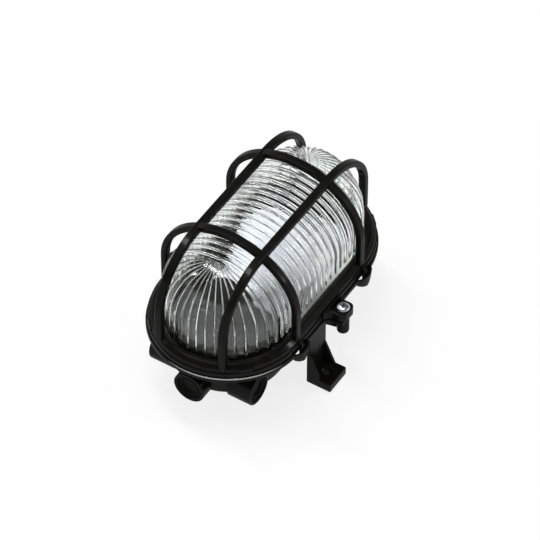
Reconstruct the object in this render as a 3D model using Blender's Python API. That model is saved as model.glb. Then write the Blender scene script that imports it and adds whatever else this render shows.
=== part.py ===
"""Oval bulkhead light with a hinged guard, for a wall or a ceiling.

The mounting plane is Z = 0 and +Z points away from the wall. The long axis is Y, with the cable
entries at the -Y end. The guard hinges on the -X side and is closed by one screw on the +X side.
"""

import math

import bmesh
import bpy
from mathutils import Matrix, Vector

MM = 0.001

# Facets round a hole or a rod: small ones, holes that a pin or a screw fits, and wide ones
SMALL_STEPS = 8
HOLE_STEPS = 12
WIDE_STEPS = 20

# Plan: every outline is a stadium, two half circles joined by straight sides along Y
SIDE_HALF = 45.5 * MM
RIM_RADIUS = 59.5 * MM
RIM_HEIGHT = 52.8 * MM
END_STEPS = 12

# Clearances
FIT_GAP = 0.3 * MM
LIP_STEP = 0.2 * MM

# Base housing, one moulding; depths are measured down from the rim plane
FLANGE_DEPTH = 4.3 * MM
TRAY_DEPTH = 34.6 * MM
TRAY_TAPER = 3.8 * MM
TRAY_OUT = 4.4 * MM
TRAY_FILLET = 5.0 * MM
TRAY_FLOOR = 2.8 * MM
TRAY_WALL = 2.8 * MM
MOULD_EDGE = 0.6 * MM

# Gasket in its groove, compressed between the base and the glass
GASKET_INSET = 2.5 * MM
GROOVE_LAND = 2.4 * MM
GASKET_WIDTH = 4.2 * MM
GASKET_HEIGHT = 3.4 * MM
GROOVE_DEPTH = 1.7 * MM

# Ribbed glass
GLASS_RADIUS = 47.5 * MM
GLASS_WALL = 3.3 * MM
GLASS_TOP = 69.8 * MM
GLASS_SPRING = 27.4 * MM
GLASS_FLANGE_OUT = 4.7 * MM
GLASS_FLANGE_THICK = 3.6 * MM
GLASS_POLE_OUT = 12.8 * MM
RIB_PITCH = 6.48 * MM
RIB_HEIGHT = 1.1 * MM
RIB_FOOT = 11.0 * MM
END_RIBS = 16
FAN_FADE = 3.5
DOME_ROWS = 5
INNER_ROWS = 3

# Guard frame, one moulding: a ring, two hoops across and two bars along
RING_SKIRT = 6.9 * MM
RING_SHOULDER = 0.7 * MM
RING_CREST_HEIGHT = 10.8 * MM
RING_CREST_IN = 7.7 * MM
RING_WALL = 2.4 * MM
RING_LIP_HEIGHT = 8.2 * MM
LIP_TO_GLASS = 0.7 * MM
RING_EDGE = 0.4 * MM
BAR_WIDTH = 6.1 * MM
BAR_THICK = 5.0 * MM
BAR_CORNER = 1.1 * MM
HOOP_INSET_Y = 2.7 * MM
HOOP_INSET_X = 1.9 * MM
HOOP_SPRING = 32.4 * MM
HOOP_RISE = 51.8 * MM
BAR_X = 26.4 * MM
BAR_END_INSET = 8.4 * MM
ARC_STEPS = 14

# Closing screw, its ears and its insert
SCREW_OUT = 8.5 * MM
GUARD_EAR_HALF = 7.6 * MM
GUARD_EAR_CORNER = 4.0 * MM
GUARD_EAR_FLARE = 5.0 * MM
GUARD_EAR_OUT = 13.9 * MM
GUARD_EAR_HEIGHT = 7.2 * MM
EAR_RIB = 1.7 * MM
EAR_POCKET_DEPTH = 3.6 * MM
EAR_POCKET_LENGTH = 4.7 * MM
SCREW_SEAT_RADIUS = 5.4 * MM
SCREW_RADIUS = 2.0 * MM
SCREW_LENGTH = 16.0 * MM
SCREW_HEAD_RADIUS = 4.7 * MM
SCREW_HEAD_HEIGHT = 2.3 * MM
SCREW_PLAY = 0.45 * MM
RETAINER_WIDTH = 2.1 * MM
RETAINER_THICK = 1.0 * MM
BASE_EAR_OUT = 12.5 * MM
BASE_EAR_HALF = 6.0 * MM
EAR_BOSS_WALL = 1.5 * MM
EAR_BOSS_DEPTH = 16.5 * MM
INSERT_WALL = 1.1 * MM
INSERT_LENGTH = 8.4 * MM
INSERT_HOLE_EXTRA = 3.0 * MM

# Hinge: two knuckles, each a base ear between two guard cheeks
HINGE_LIFT = 0.9 * MM
HINGE_Y = 21.0 * MM
KNUCKLE_WALL = 1.7 * MM
BASE_EAR_WIDTH = 4.2 * MM
CHEEK_WIDTH = 3.5 * MM
PIN_RADIUS = 1.4 * MM
STOP_HEIGHT = 2.3 * MM
STOP_START = 100

# Locating tongues of the guard, and their pockets on the base's closing side
TONGUE_INSET = 3.0 * MM
TONGUE_WIDTH = 3.0 * MM
TONGUE_OUT = 1.9 * MM
TONGUE_DEPTH = 7.6 * MM
POCKET_HALF = 9.7 * MM
POCKET_OUT = 4.1 * MM
POCKET_WALL = 1.4 * MM
POCKET_DEPTH = 11.5 * MM
SCOOP_TAPER = ((0.62, 0.0), (0.86, 0.25), (1.0, 1.0))

# Feet: two legs on opposite corners of the middle
LEG_INSET = 1.5 * MM
LEG_THICK = 2.6 * MM
LEG_NEAR_Y = 28.8 * MM
LEG_WIDTH = 22.0 * MM
FOOT_OUT = 16.1 * MM
FOOT_THICK = 7.4 * MM
GUSSET_TOP = 25.9 * MM
GUSSET_OUT = 8.7 * MM
GUSSET_THICK = 2.6 * MM
BRACE_DEPTH = 20.0 * MM
FOOT_HOLE_OUT = 6.0 * MM
FOOT_HOLE_RADIUS = 2.6 * MM

# Cable entries: one at the end, one at each side
ENTRY_WALL = 2.6 * MM
ENTRY_BORE_RADIUS = 10.0 * MM
ENTRY_DROP = 26.6 * MM
END_ENTRY_OUT = 6.1 * MM
SIDE_ENTRY_IN = 4.2 * MM
SIDE_ENTRY_BACK = 27.2 * MM
ENTRY_LENGTH = 19.0 * MM
ENTRY_BORE_LENGTH = 14.5 * MM
PLUG_LENGTH = 9.0 * MM
PLUG_RECESS = 1.0 * MM
PLUG_STEP = 0.8 * MM
ENTRY_STEPS = 24

# Glass clips under the guard, on the diagonals
CLIP_WIDTH = 9.0 * MM
CLIP_THICK = 1.0 * MM
CLIP_OVERLAP = 1.8 * MM
CLIP_ANGLES = (45, 135, 225, 315)
CLIP_SCREW_RADIUS = 1.2 * MM
CLIP_SCREW_LENGTH = 5.0 * MM
CLIP_HEAD_RADIUS = 2.2 * MM
CLIP_HEAD_HEIGHT = 1.5 * MM
CLIP_POCKET_FLOOR = 1.5 * MM

# Small inner screws and the posts that hold them
SMALL_SCREW_RADIUS = 1.4 * MM
SMALL_SCREW_LENGTH = 5.5 * MM
SMALL_HEAD_RADIUS = 2.7 * MM
SMALL_HEAD_HEIGHT = 1.8 * MM
POST_RADIUS = 3.6 * MM
LOW_POST = 4.0 * MM

# Lamp and lampholder; heights run along the lamp's axis from the back of the lampholder
LAMP_AXIS_HEIGHT = 16.0 * MM
HOLDER_BACK_IN = 21.8 * MM
HOLDER_RADIUS = 19.5 * MM
HOLDER_LENGTH = 31.0 * MM
HOLDER_FLOOR = 7.0 * MM
HOLDER_SCREW_X = 9.0 * MM
THREAD_PITCH = 3.63 * MM
CAP_MEAN_RADIUS = 12.65 * MM
THREAD_SWELL = 0.5 * MM
THREAD_ROWS = 3
SHELL_THICK = 0.6 * MM
SHELL_PLAY = 0.4 * MM
CONTACT_RADIUS = 3.6 * MM
CONTACT_HEIGHT = 2.2 * MM
BULB_LENGTH = 105.0 * MM
BULB_RADIUS = 30.0 * MM
CAP_LENGTH = 27.0 * MM
THREAD_START = 6.5 * MM
THREAD_END = 4.5 * MM
NECK_REACH = 16.0 * MM
GLOBE_JOIN = 128
LAMP_SEGMENTS = 18
NECK_ROWS = 4
GLOBE_ROWS = 9
NECK_RADIUS = 13.8 * MM

# Sheet bracket that carries the lampholder
SHEET_THICK = 1.5 * MM
BRACKET_HALF = 15.0 * MM
BRACKET_FOOT = 8.0 * MM
BRACKET_SCREW_X = 9.0 * MM

# Terminal block on the floor
BLOCK_LENGTH = 30.0 * MM
BLOCK_WIDTH = 16.0 * MM
BLOCK_HEIGHT = 13.0 * MM
BLOCK_AHEAD = 18.2 * MM
WAY_PITCH = 10.0 * MM
PORT_RADIUS = 2.1 * MM
PORT_DROP = 5.0 * MM
WELL_RADIUS = 2.5 * MM
WELL_DEPTH = 2.6 * MM
TERMINAL_SCREW_RADIUS = 2.1 * MM
TERMINAL_SCREW_HEIGHT = 2.0 * MM

# Reflector plate under the lamp
REFLECTOR_DROP = 18.0 * MM
REFLECTOR_THICK = 0.8 * MM
REFLECTOR_PLAY = 4.4 * MM
REFLECTOR_RIM = 4.5 * MM
REFLECTOR_FLARE = 2.0 * MM
REFLECTOR_CORNER = 6.0 * MM
REFLECTOR_NEAR_GAP = 31.0 * MM
REFLECTOR_SCREW_INSET = 7.0 * MM
REFLECTOR_SCREW_EDGE = 8.5 * MM

# Inner leads from the terminal block to the lampholder
LEAD_RADIUS = 1.1 * MM
LEAD_ENTRY = 1.4 * MM
LEAD_SETBACK = 5.0 * MM
LEAD_TAIL = 2.0 * MM
LEAD_RUN = 3.0 * MM
LEAD_RISE = 8.0 * MM

RIM = RIM_HEIGHT
GASKET_INNER_RADIUS = GLASS_RADIUS - GASKET_INSET
CAVITY_TOP_RADIUS = GASKET_INNER_RADIUS - GROOVE_LAND
TRAY_TOP_RADIUS = CAVITY_TOP_RADIUS + TRAY_OUT
TRAY_BOTTOM_RADIUS = TRAY_TOP_RADIUS - TRAY_TAPER
GLASS_POLE_Y = SIDE_HALF + GLASS_POLE_OUT
RING_CREST_RADIUS = RIM_RADIUS - RING_CREST_IN
HOOP_Y = SIDE_HALF - HOOP_INSET_Y
HOOP_HALF_WIDTH = RIM_RADIUS - HOOP_INSET_X
BAR_END_REACH = RIM_RADIUS - BAR_END_INSET
SCREW_X = RIM_RADIUS + SCREW_OUT
GUARD_EAR_END = RIM_RADIUS + GUARD_EAR_OUT
BASE_EAR_END = RIM_RADIUS + BASE_EAR_OUT
INSERT_RADIUS = SCREW_RADIUS + INSERT_WALL
EAR_BOSS_RADIUS = INSERT_RADIUS + EAR_BOSS_WALL
RETAINER_RADIUS = SCREW_RADIUS + RETAINER_WIDTH
KNUCKLE_RADIUS = PIN_RADIUS + KNUCKLE_WALL
HINGE_OFFSET = KNUCKLE_RADIUS + FIT_GAP
HINGE_HEIGHT = KNUCKLE_RADIUS + HINGE_LIFT
TONGUE_Y = SIDE_HALF - TONGUE_INSET
LEG_FACE_X = RIM_RADIUS - LEG_INSET
FOOT_END_X = RIM_RADIUS + FOOT_OUT
FOOT_HOLE_X = RIM_RADIUS + FOOT_HOLE_OUT
ENTRY_RADIUS = ENTRY_BORE_RADIUS + ENTRY_WALL
END_ENTRY_FACE = SIDE_HALF + TRAY_TOP_RADIUS + END_ENTRY_OUT
SIDE_ENTRY_FACE = TRAY_TOP_RADIUS - SIDE_ENTRY_IN
SIDE_ENTRY_Y = SIDE_HALF + SIDE_ENTRY_BACK
HOLDER_BACK_Y = SIDE_HALF + GLASS_RADIUS - HOLDER_BACK_IN
BLOCK_Y = BLOCK_AHEAD - HOLDER_BACK_Y
REFLECTOR_RADIUS = TRAY_BOTTOM_RADIUS - TRAY_WALL - REFLECTOR_PLAY
REFLECTOR_NEAR_Y = BLOCK_Y + BLOCK_WIDTH / 2 + REFLECTOR_NEAR_GAP
REFLECTOR_SCREWS_Y = (
    REFLECTOR_NEAR_Y + REFLECTOR_SCREW_INSET,
    SIDE_HALF + REFLECTOR_RADIUS - REFLECTOR_SCREW_EDGE,
)
FLOOR_TOP = RIM - TRAY_DEPTH + TRAY_FLOOR
LAMP_AXIS = RIM + LAMP_AXIS_HEIGHT
GROOVE_FLOOR = RIM - FIT_GAP - GROOVE_DEPTH
GASKET_TOP = GROOVE_FLOOR + FIT_GAP + GASKET_HEIGHT
GLASS_FOOT = GASKET_TOP + FIT_GAP
GLASS_FLANGE_TOP = GLASS_FOOT + GLASS_FLANGE_THICK
GLASS_FLANGE_RADIUS = GLASS_RADIUS + GLASS_FLANGE_OUT
RING_SEAT_RADIUS = GLASS_FLANGE_RADIUS + 2 * FIT_GAP
CHANNEL_INNER = RING_SEAT_RADIUS + RING_WALL
CHANNEL_OUTER = RIM_RADIUS - RING_WALL
CHANNEL_ROOF = RIM + RING_SKIRT - FIT_GAP
CLIP_RADIUS = CHANNEL_OUTER - CLIP_HEAD_RADIUS - FIT_GAP
CLIP_SEAT = GLASS_FOOT - FIT_GAP / 2
HINGE_X = -(RIM_RADIUS + HINGE_OFFSET)
HINGE_Z = RIM + HINGE_HEIGHT
EPSILON = 1.0 * MM


def clear_scene():
    """Remove whatever the file starts with."""
    for obj in list(bpy.data.objects):
        bpy.data.objects.remove(obj, do_unlink=True)


def make_material(name, colour, roughness, metallic=0.0, transmission=0.0):
    """A Principled material with plain values."""
    material = bpy.data.materials.new(name)
    material.use_nodes = True
    shader = material.node_tree.nodes["Principled BSDF"]
    shader.inputs["Base Color"].default_value = (*colour, 1.0)
    shader.inputs["Roughness"].default_value = roughness
    shader.inputs["Metallic"].default_value = metallic
    shader.inputs["Transmission Weight"].default_value = transmission
    material.diffuse_color = (*colour, 1.0)
    return material


def finish_mesh(name, bm, material, smooth=30):
    """Turn a bmesh into a linked object with outward faces, smooth below the given angle."""
    bmesh.ops.recalc_face_normals(bm, faces=bm.faces)
    mesh = bpy.data.meshes.new(name)
    bm.to_mesh(mesh)
    bm.free()
    if material:
        mesh.materials.append(material)
    mesh.shade_smooth()
    mesh.set_sharp_from_angle(angle=math.radians(smooth))
    obj = bpy.data.objects.new(name, mesh)
    bpy.context.scene.collection.objects.link(obj)
    return obj


def loft(name, loops, material=None, capped=True):
    """Skin equal loops of points in order; the ends are capped, or joined to make a ring."""
    bm = bmesh.new()
    rows = [[bm.verts.new(point) for point in loop] for loop in loops]
    pairs = list(zip(rows, rows[1:]))
    if not capped:
        pairs.append((rows[-1], rows[0]))
    for low, high in pairs:
        for i in range(len(low)):
            j = (i + 1) % len(low)
            bm.faces.new((low[i], low[j], high[j], high[i]))
    if capped:
        bm.faces.new(rows[0][::-1])
        bm.faces.new(rows[-1])
    return finish_mesh(name, bm, material)


def prism(name, outline, low, high, axis="Z", material=None):
    """Extrude an outline along an axis; its points are (X, Y), (X, Z) or (Y, Z)."""
    place = {
        "Z": lambda u, v, w: (u, v, w),
        "Y": lambda u, v, w: (u, w, v),
        "X": lambda u, v, w: (w, u, v),
    }[axis]
    bm = bmesh.new()
    face = bm.faces.new([bm.verts.new(place(u, v, low)) for u, v in outline])
    grown = bmesh.ops.extrude_face_region(bm, geom=[face])
    moved = [item for item in grown["geom"] if isinstance(item, bmesh.types.BMVert)]
    bmesh.ops.translate(bm, verts=moved, vec=place(0, 0, high - low))
    return finish_mesh(name, bm, material)


def box(name, low, high, material=None):
    """A block between two corners."""
    outline = [(low[0], low[1]), (high[0], low[1]), (high[0], high[1]), (low[0], high[1])]
    return prism(name, outline, low[2], high[2], "Z", material)


def turned(name, profile, segments=WIDE_STEPS, material=None, hollow=False):
    """Spin a profile of (radius, height) round Z; a hollow one is a closed ring."""
    bm = bmesh.new()
    points = [bm.verts.new((radius, 0, height)) for radius, height in profile]
    edges = [bm.edges.new(pair) for pair in zip(points, points[1:])]
    if hollow:
        edges.append(bm.edges.new((points[-1], points[0])))
    bmesh.ops.spin(
        bm, geom=points + edges, axis=(0, 0, 1), cent=(0, 0, 0),
        angle=2 * math.pi, steps=segments,
    )
    bmesh.ops.remove_doubles(bm, verts=bm.verts, dist=1e-6)
    return finish_mesh(name, bm, material)


def rod(name, radius, low, high, segments=HOLE_STEPS, material=None):
    """A plain cylinder along Z between two heights."""
    return turned(name, [(0, low), (radius, low), (radius, high), (0, high)], segments, material)


def aim(obj, direction, location=(0, 0, 0)):
    """Turn a piece made along Z to point along the direction, and place it."""
    obj.rotation_mode = "QUATERNION"
    obj.rotation_quaternion = Vector(direction).to_track_quat("Z", "Y")
    obj.location = location
    return obj


def helper(obj):
    """Mark an object as a construction helper, which isn't part of the light."""
    obj.hide_render = True
    obj.display_type = "WIRE"
    obj.hide_set(True)
    return obj


def combine(target, others, operation, word):
    """Add one exact Boolean that takes all the helpers at once."""
    group = bpy.data.collections.new(f"{target.name}_{word}_{len(target.modifiers)}")
    bpy.context.scene.collection.children.link(group)
    for other in others:
        bpy.context.scene.collection.objects.unlink(other)
        group.objects.link(other)
        helper(other)
    modifier = target.modifiers.new(word, "BOOLEAN")
    modifier.operation = operation
    modifier.solver = "EXACT"
    modifier.operand_type = "COLLECTION"
    modifier.collection = group


def fuse(target, others):
    combine(target, others, "UNION", "added")


def cut(target, others):
    combine(target, others, "DIFFERENCE", "removed")


def chamfer(obj, width, segments=1):
    """Round the sharp edges of a simple solid."""
    modifier = obj.modifiers.new("edges", "BEVEL")
    modifier.width = width
    modifier.segments = segments
    modifier.limit_method = "ANGLE"
    return obj


def shaped_mesh(obj):
    """The object's mesh with its modifiers applied; the object and its helpers go."""
    bpy.context.view_layer.update()
    graph = bpy.context.evaluated_depsgraph_get()
    mesh = bpy.data.meshes.new_from_object(obj.evaluated_get(graph))
    groups = [modifier.collection for modifier in obj.modifiers if modifier.type == "BOOLEAN"]
    for group in groups:
        for part in list(group.objects):
            bpy.data.objects.remove(part)
        bpy.data.collections.remove(group)
    bpy.data.objects.remove(obj)
    return mesh


def copy_of(name, mesh, location, direction=(0, 0, 1)):
    """One more object that shares a mesh."""
    obj = bpy.data.objects.new(name, mesh)
    bpy.context.scene.collection.objects.link(obj)
    return aim(obj, direction, location)


def stadium(radius, steps=END_STEPS):
    """Points of a stadium, counter-clockwise from the start of the far end's arc."""
    points = []
    for centre, start in ((SIDE_HALF, 0), (-SIDE_HALF, 180)):
        for i in range(steps + 1):
            angle = math.radians(start + 180 * i / steps)
            points.append((radius * math.cos(angle), centre + radius * math.sin(angle)))
    return points


def stadium_loop(radius, z):
    return [(x, y, z) for x, y in stadium(radius)]


def stadium_solid(name, sections, material=None):
    """A solid of stadium sections, given as (radius, z) from the bottom up."""
    return loft(name, [stadium_loop(radius, z) for radius, z in sections], material)


def stadium_ring(name, profile, material=None):
    """A ring that follows the stadium, from a closed profile of (radius, z)."""
    return loft(name, [stadium_loop(radius, z) for radius, z in profile], material, capped=False)


def quarter(centre_radius, centre_z, radius, start, steps=3):
    """Arc points of (radius, z) over a quarter turn from the start angle in degrees."""
    return [
        (
            centre_radius + radius * math.cos(math.radians(start + 90 * i / steps)),
            centre_z + radius * math.sin(math.radians(start + 90 * i / steps)),
        )
        for i in range(steps + 1)
    ]


def diagonal_point(degrees, radius):
    """A point on the end arcs, at an angle round the nearer arc's centre."""
    angle = math.radians(degrees)
    centre = math.copysign(SIDE_HALF, math.sin(angle))
    return Vector((radius * math.cos(angle), centre + radius * math.sin(angle), 0))


def cross_recess(name, reach, top, depth):
    """The cross-shaped cutter of a screw head."""
    half = reach / 4
    outline = []
    for quarter_turn in range(4):
        turn = Matrix.Rotation(quarter_turn * math.pi / 2, 2)
        for corner in ((reach, -half), (reach, half), (half, half)):
            outline.append(tuple(turn @ Vector(corner)))
    return prism(name, outline, top - depth, top + EPSILON)


def pan_screw(radius, length, head_radius, head_height, material, segments=SMALL_STEPS,
              recess=False):
    """Mesh of a pan-head screw: its shank points down from the underside of the head."""
    profile = [
        (0, -length), (radius * 0.5, -length), (radius, -length + radius), (radius, 0),
        (head_radius, 0), (head_radius, head_height * 0.5), (head_radius * 0.7, head_height),
        (0, head_height),
    ]
    screw = turned("screw", profile, segments, material)
    if recess:
        cut(screw, [cross_recess("recess", head_radius * 0.6, head_height, head_height * 0.6)])
    return shaped_mesh(screw)


def sweep_bar(name, path, across, material=None):
    """A bar with chamfered corners along a path in the plane square to the given axis."""
    half, deep, corner = BAR_WIDTH / 2, BAR_THICK / 2, BAR_CORNER
    section = [
        (half, deep - corner), (half - corner, deep), (corner - half, deep), (-half, deep - corner),
        (-half, corner - deep), (corner - half, -deep), (half - corner, -deep), (half, corner - deep),
    ]
    loops = []
    for i, point in enumerate(path):
        before, after = path[max(i - 1, 0)], path[min(i + 1, len(path) - 1)]
        inward = across.cross(after - before).normalized()
        loops.append([point + across * u + inward * v for u, v in section])
    return loft(name, loops, material)


def hoop_path(y):
    """Centre line of a hoop: upright sides and half an ellipse over the top."""
    half, rise = HOOP_HALF_WIDTH - BAR_THICK / 2, HOOP_RISE - BAR_THICK / 2
    foot = RIM + RING_SKIRT
    path = [Vector((half, y, foot))]
    for i in range(ARC_STEPS + 1):
        angle = math.pi * i / ARC_STEPS
        z = RIM + HOOP_SPRING + rise * math.sin(angle)
        path.append(Vector((half * math.cos(angle), y, z)))
    path.append(Vector((-half, y, foot)))
    return path


def hoop_height(x):
    """Height of a hoop's centre line over the rim plane, at a distance from the middle."""
    half, rise = HOOP_HALF_WIDTH - BAR_THICK / 2, HOOP_RISE - BAR_THICK / 2
    return HOOP_SPRING + rise * math.sqrt(1 - (x / half) ** 2)


def bar_path(x):
    """Centre line of a lengthwise bar: level between the hoops, a quarter ellipse at each end."""
    top, reach = hoop_height(x), BAR_END_REACH - BAR_THICK / 2
    rise = top - HOOP_SPRING
    quarter_steps = ARC_STEPS // 2
    arc = []
    for i in range(quarter_steps + 1):
        angle = math.pi / 2 * i / quarter_steps
        z = RIM + HOOP_SPRING + rise * math.sin(angle)
        arc.append(Vector((x, SIDE_HALF + reach * math.cos(angle), z)))
    foot = Vector((x, SIDE_HALF + reach, RIM + RING_SKIRT))
    far = [foot] + arc
    near = [Vector((x, -point.y, point.z)) for point in reversed(far)]
    return far + near


def around_z(point, quarter_turn):
    """A plan point turned half a turn where asked, for the foot on the other side."""
    return (-point[0], -point[1]) if quarter_turn else point


def leg_parts(turn):
    """Panel, foot plate, two gussets and two braces of one leg; the other leg is half a turn round."""
    side = -1 if turn else 1
    tag = "left" if turn else "right"
    span = sorted((-side * LEG_NEAR_Y, -side * (LEG_NEAR_Y - LEG_WIDTH)))
    panel_top = RIM - FLANGE_DEPTH / 2

    def block(name, x_low, x_high, z_low, z_high):
        xs = sorted((side * x_low, side * x_high))
        return box(f"{name}_{tag}", (xs[0], span[0], z_low), (xs[1], span[1], z_high))

    panel = block("leg_panel", LEG_FACE_X - LEG_THICK, LEG_FACE_X, 0, panel_top)
    foot = chamfer(block("foot_plate", LEG_FACE_X - LEG_THICK, FOOT_END_X, 0, FOOT_THICK), MOULD_EDGE)
    pieces = [panel, foot]
    embed = LEG_THICK / 2
    gusset = [
        (side * (LEG_FACE_X - embed), RIM - GUSSET_TOP), (side * LEG_FACE_X, RIM - GUSSET_TOP),
        (side * (LEG_FACE_X + GUSSET_OUT), FOOT_THICK),
        (side * (LEG_FACE_X + GUSSET_OUT), FOOT_THICK - embed),
        (side * (LEG_FACE_X - embed), FOOT_THICK - embed),
    ]
    brace = [
        (side * (LEG_FACE_X - embed), panel_top), (side * (LEG_FACE_X - embed), RIM - BRACE_DEPTH),
        (side * (TRAY_TOP_RADIUS - 2 * embed), RIM - BRACE_DEPTH / 2),
        (side * (TRAY_TOP_RADIUS - 2 * embed), panel_top),
    ]
    for place, edge in (("near", span[0]), ("far", span[1] - GUSSET_THICK)):
        low, high = edge + LIP_STEP, edge + GUSSET_THICK - LIP_STEP
        pieces.append(prism(f"gusset_{place}_{tag}", gusset, low, high, "Y"))
        pieces.append(prism(f"brace_{place}_{tag}", brace, low, high, "Y"))
    return pieces


def foot_centre(turn):
    """Centre of a foot's fixing hole in plan."""
    return around_z((FOOT_HOLE_X, -(LEG_NEAR_Y - LEG_WIDTH / 2)), turn)


def entries():
    """Each cable entry's name, the middle of its face and the way it points."""
    drop = RIM - ENTRY_DROP
    return (
        ("end", Vector((0, -END_ENTRY_FACE, drop)), Vector((0, -1, 0))),
        ("left", Vector((-SIDE_ENTRY_FACE, -SIDE_ENTRY_Y, drop)), Vector((-1, 0, 0))),
        ("right", Vector((SIDE_ENTRY_FACE, -SIDE_ENTRY_Y, drop)), Vector((1, 0, 0))),
    )


def hinge_ear_outline():
    """Side view of a base ear: its outer top corner is left square and stops the guard."""
    radius = KNUCKLE_RADIUS
    root = HINGE_OFFSET + RING_WALL
    shelf = -HINGE_HEIGHT - FIT_GAP - LIP_STEP
    outline = [(root, -HINGE_HEIGHT - FLANGE_DEPTH + LIP_STEP), (root, shelf), (radius, shelf)]
    for i in range(SMALL_STEPS + 1):
        angle = math.radians(STOP_START * i / SMALL_STEPS)
        outline.append((radius * math.cos(angle), radius * math.sin(angle)))
    outline += [(-radius, STOP_HEIGHT), (-radius, -HINGE_HEIGHT)]
    outline.append((-radius / 2, -HINGE_HEIGHT - FLANGE_DEPTH))
    return [(HINGE_X + x, HINGE_Z + z) for x, z in outline]


def cheek_outline():
    """Side view of a guard cheek: a round end on a short web to the ring's wall."""
    radius = KNUCKLE_RADIUS
    root = HINGE_OFFSET + RING_WALL / 2
    outline = [(root, -radius), (root, radius - 2 * LIP_STEP)]
    for i in range(HOLE_STEPS + 1):
        angle = math.radians(90 + 180 * i / HOLE_STEPS)
        outline.append((radius * math.cos(angle), radius * math.sin(angle)))
    return [(HINGE_X + x, HINGE_Z + z) for x, z in outline]


def scoop(name, y, out, half, top, bottom):
    """Tapered half-oval lug on the +X side of the rim, between two heights."""
    inside = RIM_RADIUS - TONGUE_OUT
    loops = []
    for share, rise in SCOOP_TAPER:
        z = bottom + (top - bottom) * rise
        loop = []
        for i in range(SMALL_STEPS + 1):
            angle = math.radians(-90 + 180 * i / SMALL_STEPS)
            reach = (RIM_RADIUS + out - inside) * (1 + share) / 2
            loop.append((inside + reach * math.cos(angle), y + half * share * math.sin(angle), z))
        loops.append(loop)
    return loft(name, loops)


def base_additions():
    """Everything that stands out of the tray and its flange."""
    top = RIM - FIT_GAP
    edge = MOULD_EDGE
    parts = []
    for name, face, out in entries():
        boss = [
            (0, -ENTRY_LENGTH), (ENTRY_RADIUS, -ENTRY_LENGTH), (ENTRY_RADIUS, -edge),
            (ENTRY_RADIUS - edge, 0), (0, 0),
        ]
        parts.append(aim(turned(f"entry_boss_{name}", boss, ENTRY_STEPS), out, face))
    for turn in (False, True):
        parts += leg_parts(turn)
    for side in (-1, 1):
        low = side * HINGE_Y - BASE_EAR_WIDTH / 2
        parts.append(prism(f"hinge_ear_{side}", hinge_ear_outline(), low, low + BASE_EAR_WIDTH, "Y"))
        parts.append(scoop(f"pocket_lug_{side}", side * TONGUE_Y, POCKET_OUT, POCKET_HALF,
                           top - LIP_STEP, RIM - POCKET_DEPTH))
    ear_low = (RIM_RADIUS - TRAY_WALL, -BASE_EAR_HALF, RIM - FLANGE_DEPTH + LIP_STEP)
    ear_high = (BASE_EAR_END, BASE_EAR_HALF, top - LIP_STEP)
    parts.append(chamfer(box("screw_ear", ear_low, ear_high), edge))
    round_end = EAR_BOSS_RADIUS / 2
    boss = [(0, RIM - EAR_BOSS_DEPTH)]
    boss += quarter(round_end, RIM - EAR_BOSS_DEPTH + round_end, round_end, -90)
    boss += [(EAR_BOSS_RADIUS, top - 2 * LIP_STEP), (0, top - 2 * LIP_STEP)]
    parts.append(aim(turned("screw_boss", boss), (0, 0, 1), (SCREW_X, 0, 0)))
    web_top = RIM - FLANGE_DEPTH + EPSILON
    web = [
        (TRAY_TOP_RADIUS - EPSILON, web_top), (SCREW_X, web_top),
        (SCREW_X, RIM - EAR_BOSS_DEPTH + round_end), (TRAY_TOP_RADIUS - EPSILON, RIM - BRACE_DEPTH),
    ]
    parts.append(prism("screw_web", web, -EAR_RIB / 2, EAR_RIB / 2, "Y"))
    return parts


def base_hollows():
    """The cavity, the gasket's groove, and every bore, pocket and hole."""
    fillet = TRAY_FILLET / 2
    floor_radius = TRAY_BOTTOM_RADIUS - TRAY_WALL - fillet
    cavity = quarter(floor_radius, FLOOR_TOP + fillet, fillet, -90)
    cavity.append((CAVITY_TOP_RADIUS, RIM + EPSILON))
    parts = [stadium_solid("cavity", cavity)]
    groove_low = GASKET_INNER_RADIUS - FIT_GAP
    groove_high = GASKET_INNER_RADIUS + GASKET_WIDTH + FIT_GAP
    groove = [(groove_low, GROOVE_FLOOR), (groove_high, GROOVE_FLOOR),
              (groove_high, RIM + EPSILON), (groove_low, RIM + EPSILON)]
    parts.append(stadium_ring("gasket_groove", groove))
    for name, face, out in entries():
        bore = rod(f"entry_bore_{name}", ENTRY_BORE_RADIUS, -ENTRY_BORE_LENGTH, EPSILON, WIDE_STEPS)
        parts.append(aim(bore, out, face))
    pocket_floor = RIM - FLANGE_DEPTH + CLIP_POCKET_FLOOR
    for degrees in CLIP_ANGLES:
        pocket = rod(f"clip_pocket_{degrees}", CLIP_HEAD_RADIUS + EPSILON, pocket_floor, RIM + EPSILON)
        parts.append(aim(pocket, (0, 0, 1), diagonal_point(degrees, CLIP_RADIUS)))
    for side in (-1, 1):
        parts.append(scoop(f"tongue_pocket_{side}", side * TONGUE_Y, POCKET_OUT - POCKET_WALL,
                           POCKET_HALF - POCKET_WALL, RIM + EPSILON, RIM - POCKET_DEPTH + POCKET_WALL))
        hole = rod(f"pin_hole_base_{side}", PIN_RADIUS + FIT_GAP, -BASE_EAR_WIDTH, BASE_EAR_WIDTH)
        parts.append(aim(hole, (0, 1, 0), (HINGE_X, side * HINGE_Y, HINGE_Z)))
    insert_low = RIM - 2 * FIT_GAP - LIP_STEP - INSERT_LENGTH - INSERT_HOLE_EXTRA
    insert_hole = rod("insert_hole", INSERT_RADIUS + FIT_GAP, insert_low, RIM + EPSILON)
    parts.append(aim(insert_hole, (0, 0, 1), (SCREW_X, 0, 0)))
    for turn in (False, True):
        x, y = foot_centre(turn)
        hole = rod(f"foot_hole_{turn}", FOOT_HOLE_RADIUS, -EPSILON, FOOT_THICK + EPSILON)
        parts.append(aim(hole, (0, 0, 1), (x, y, 0)))
    return parts


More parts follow.
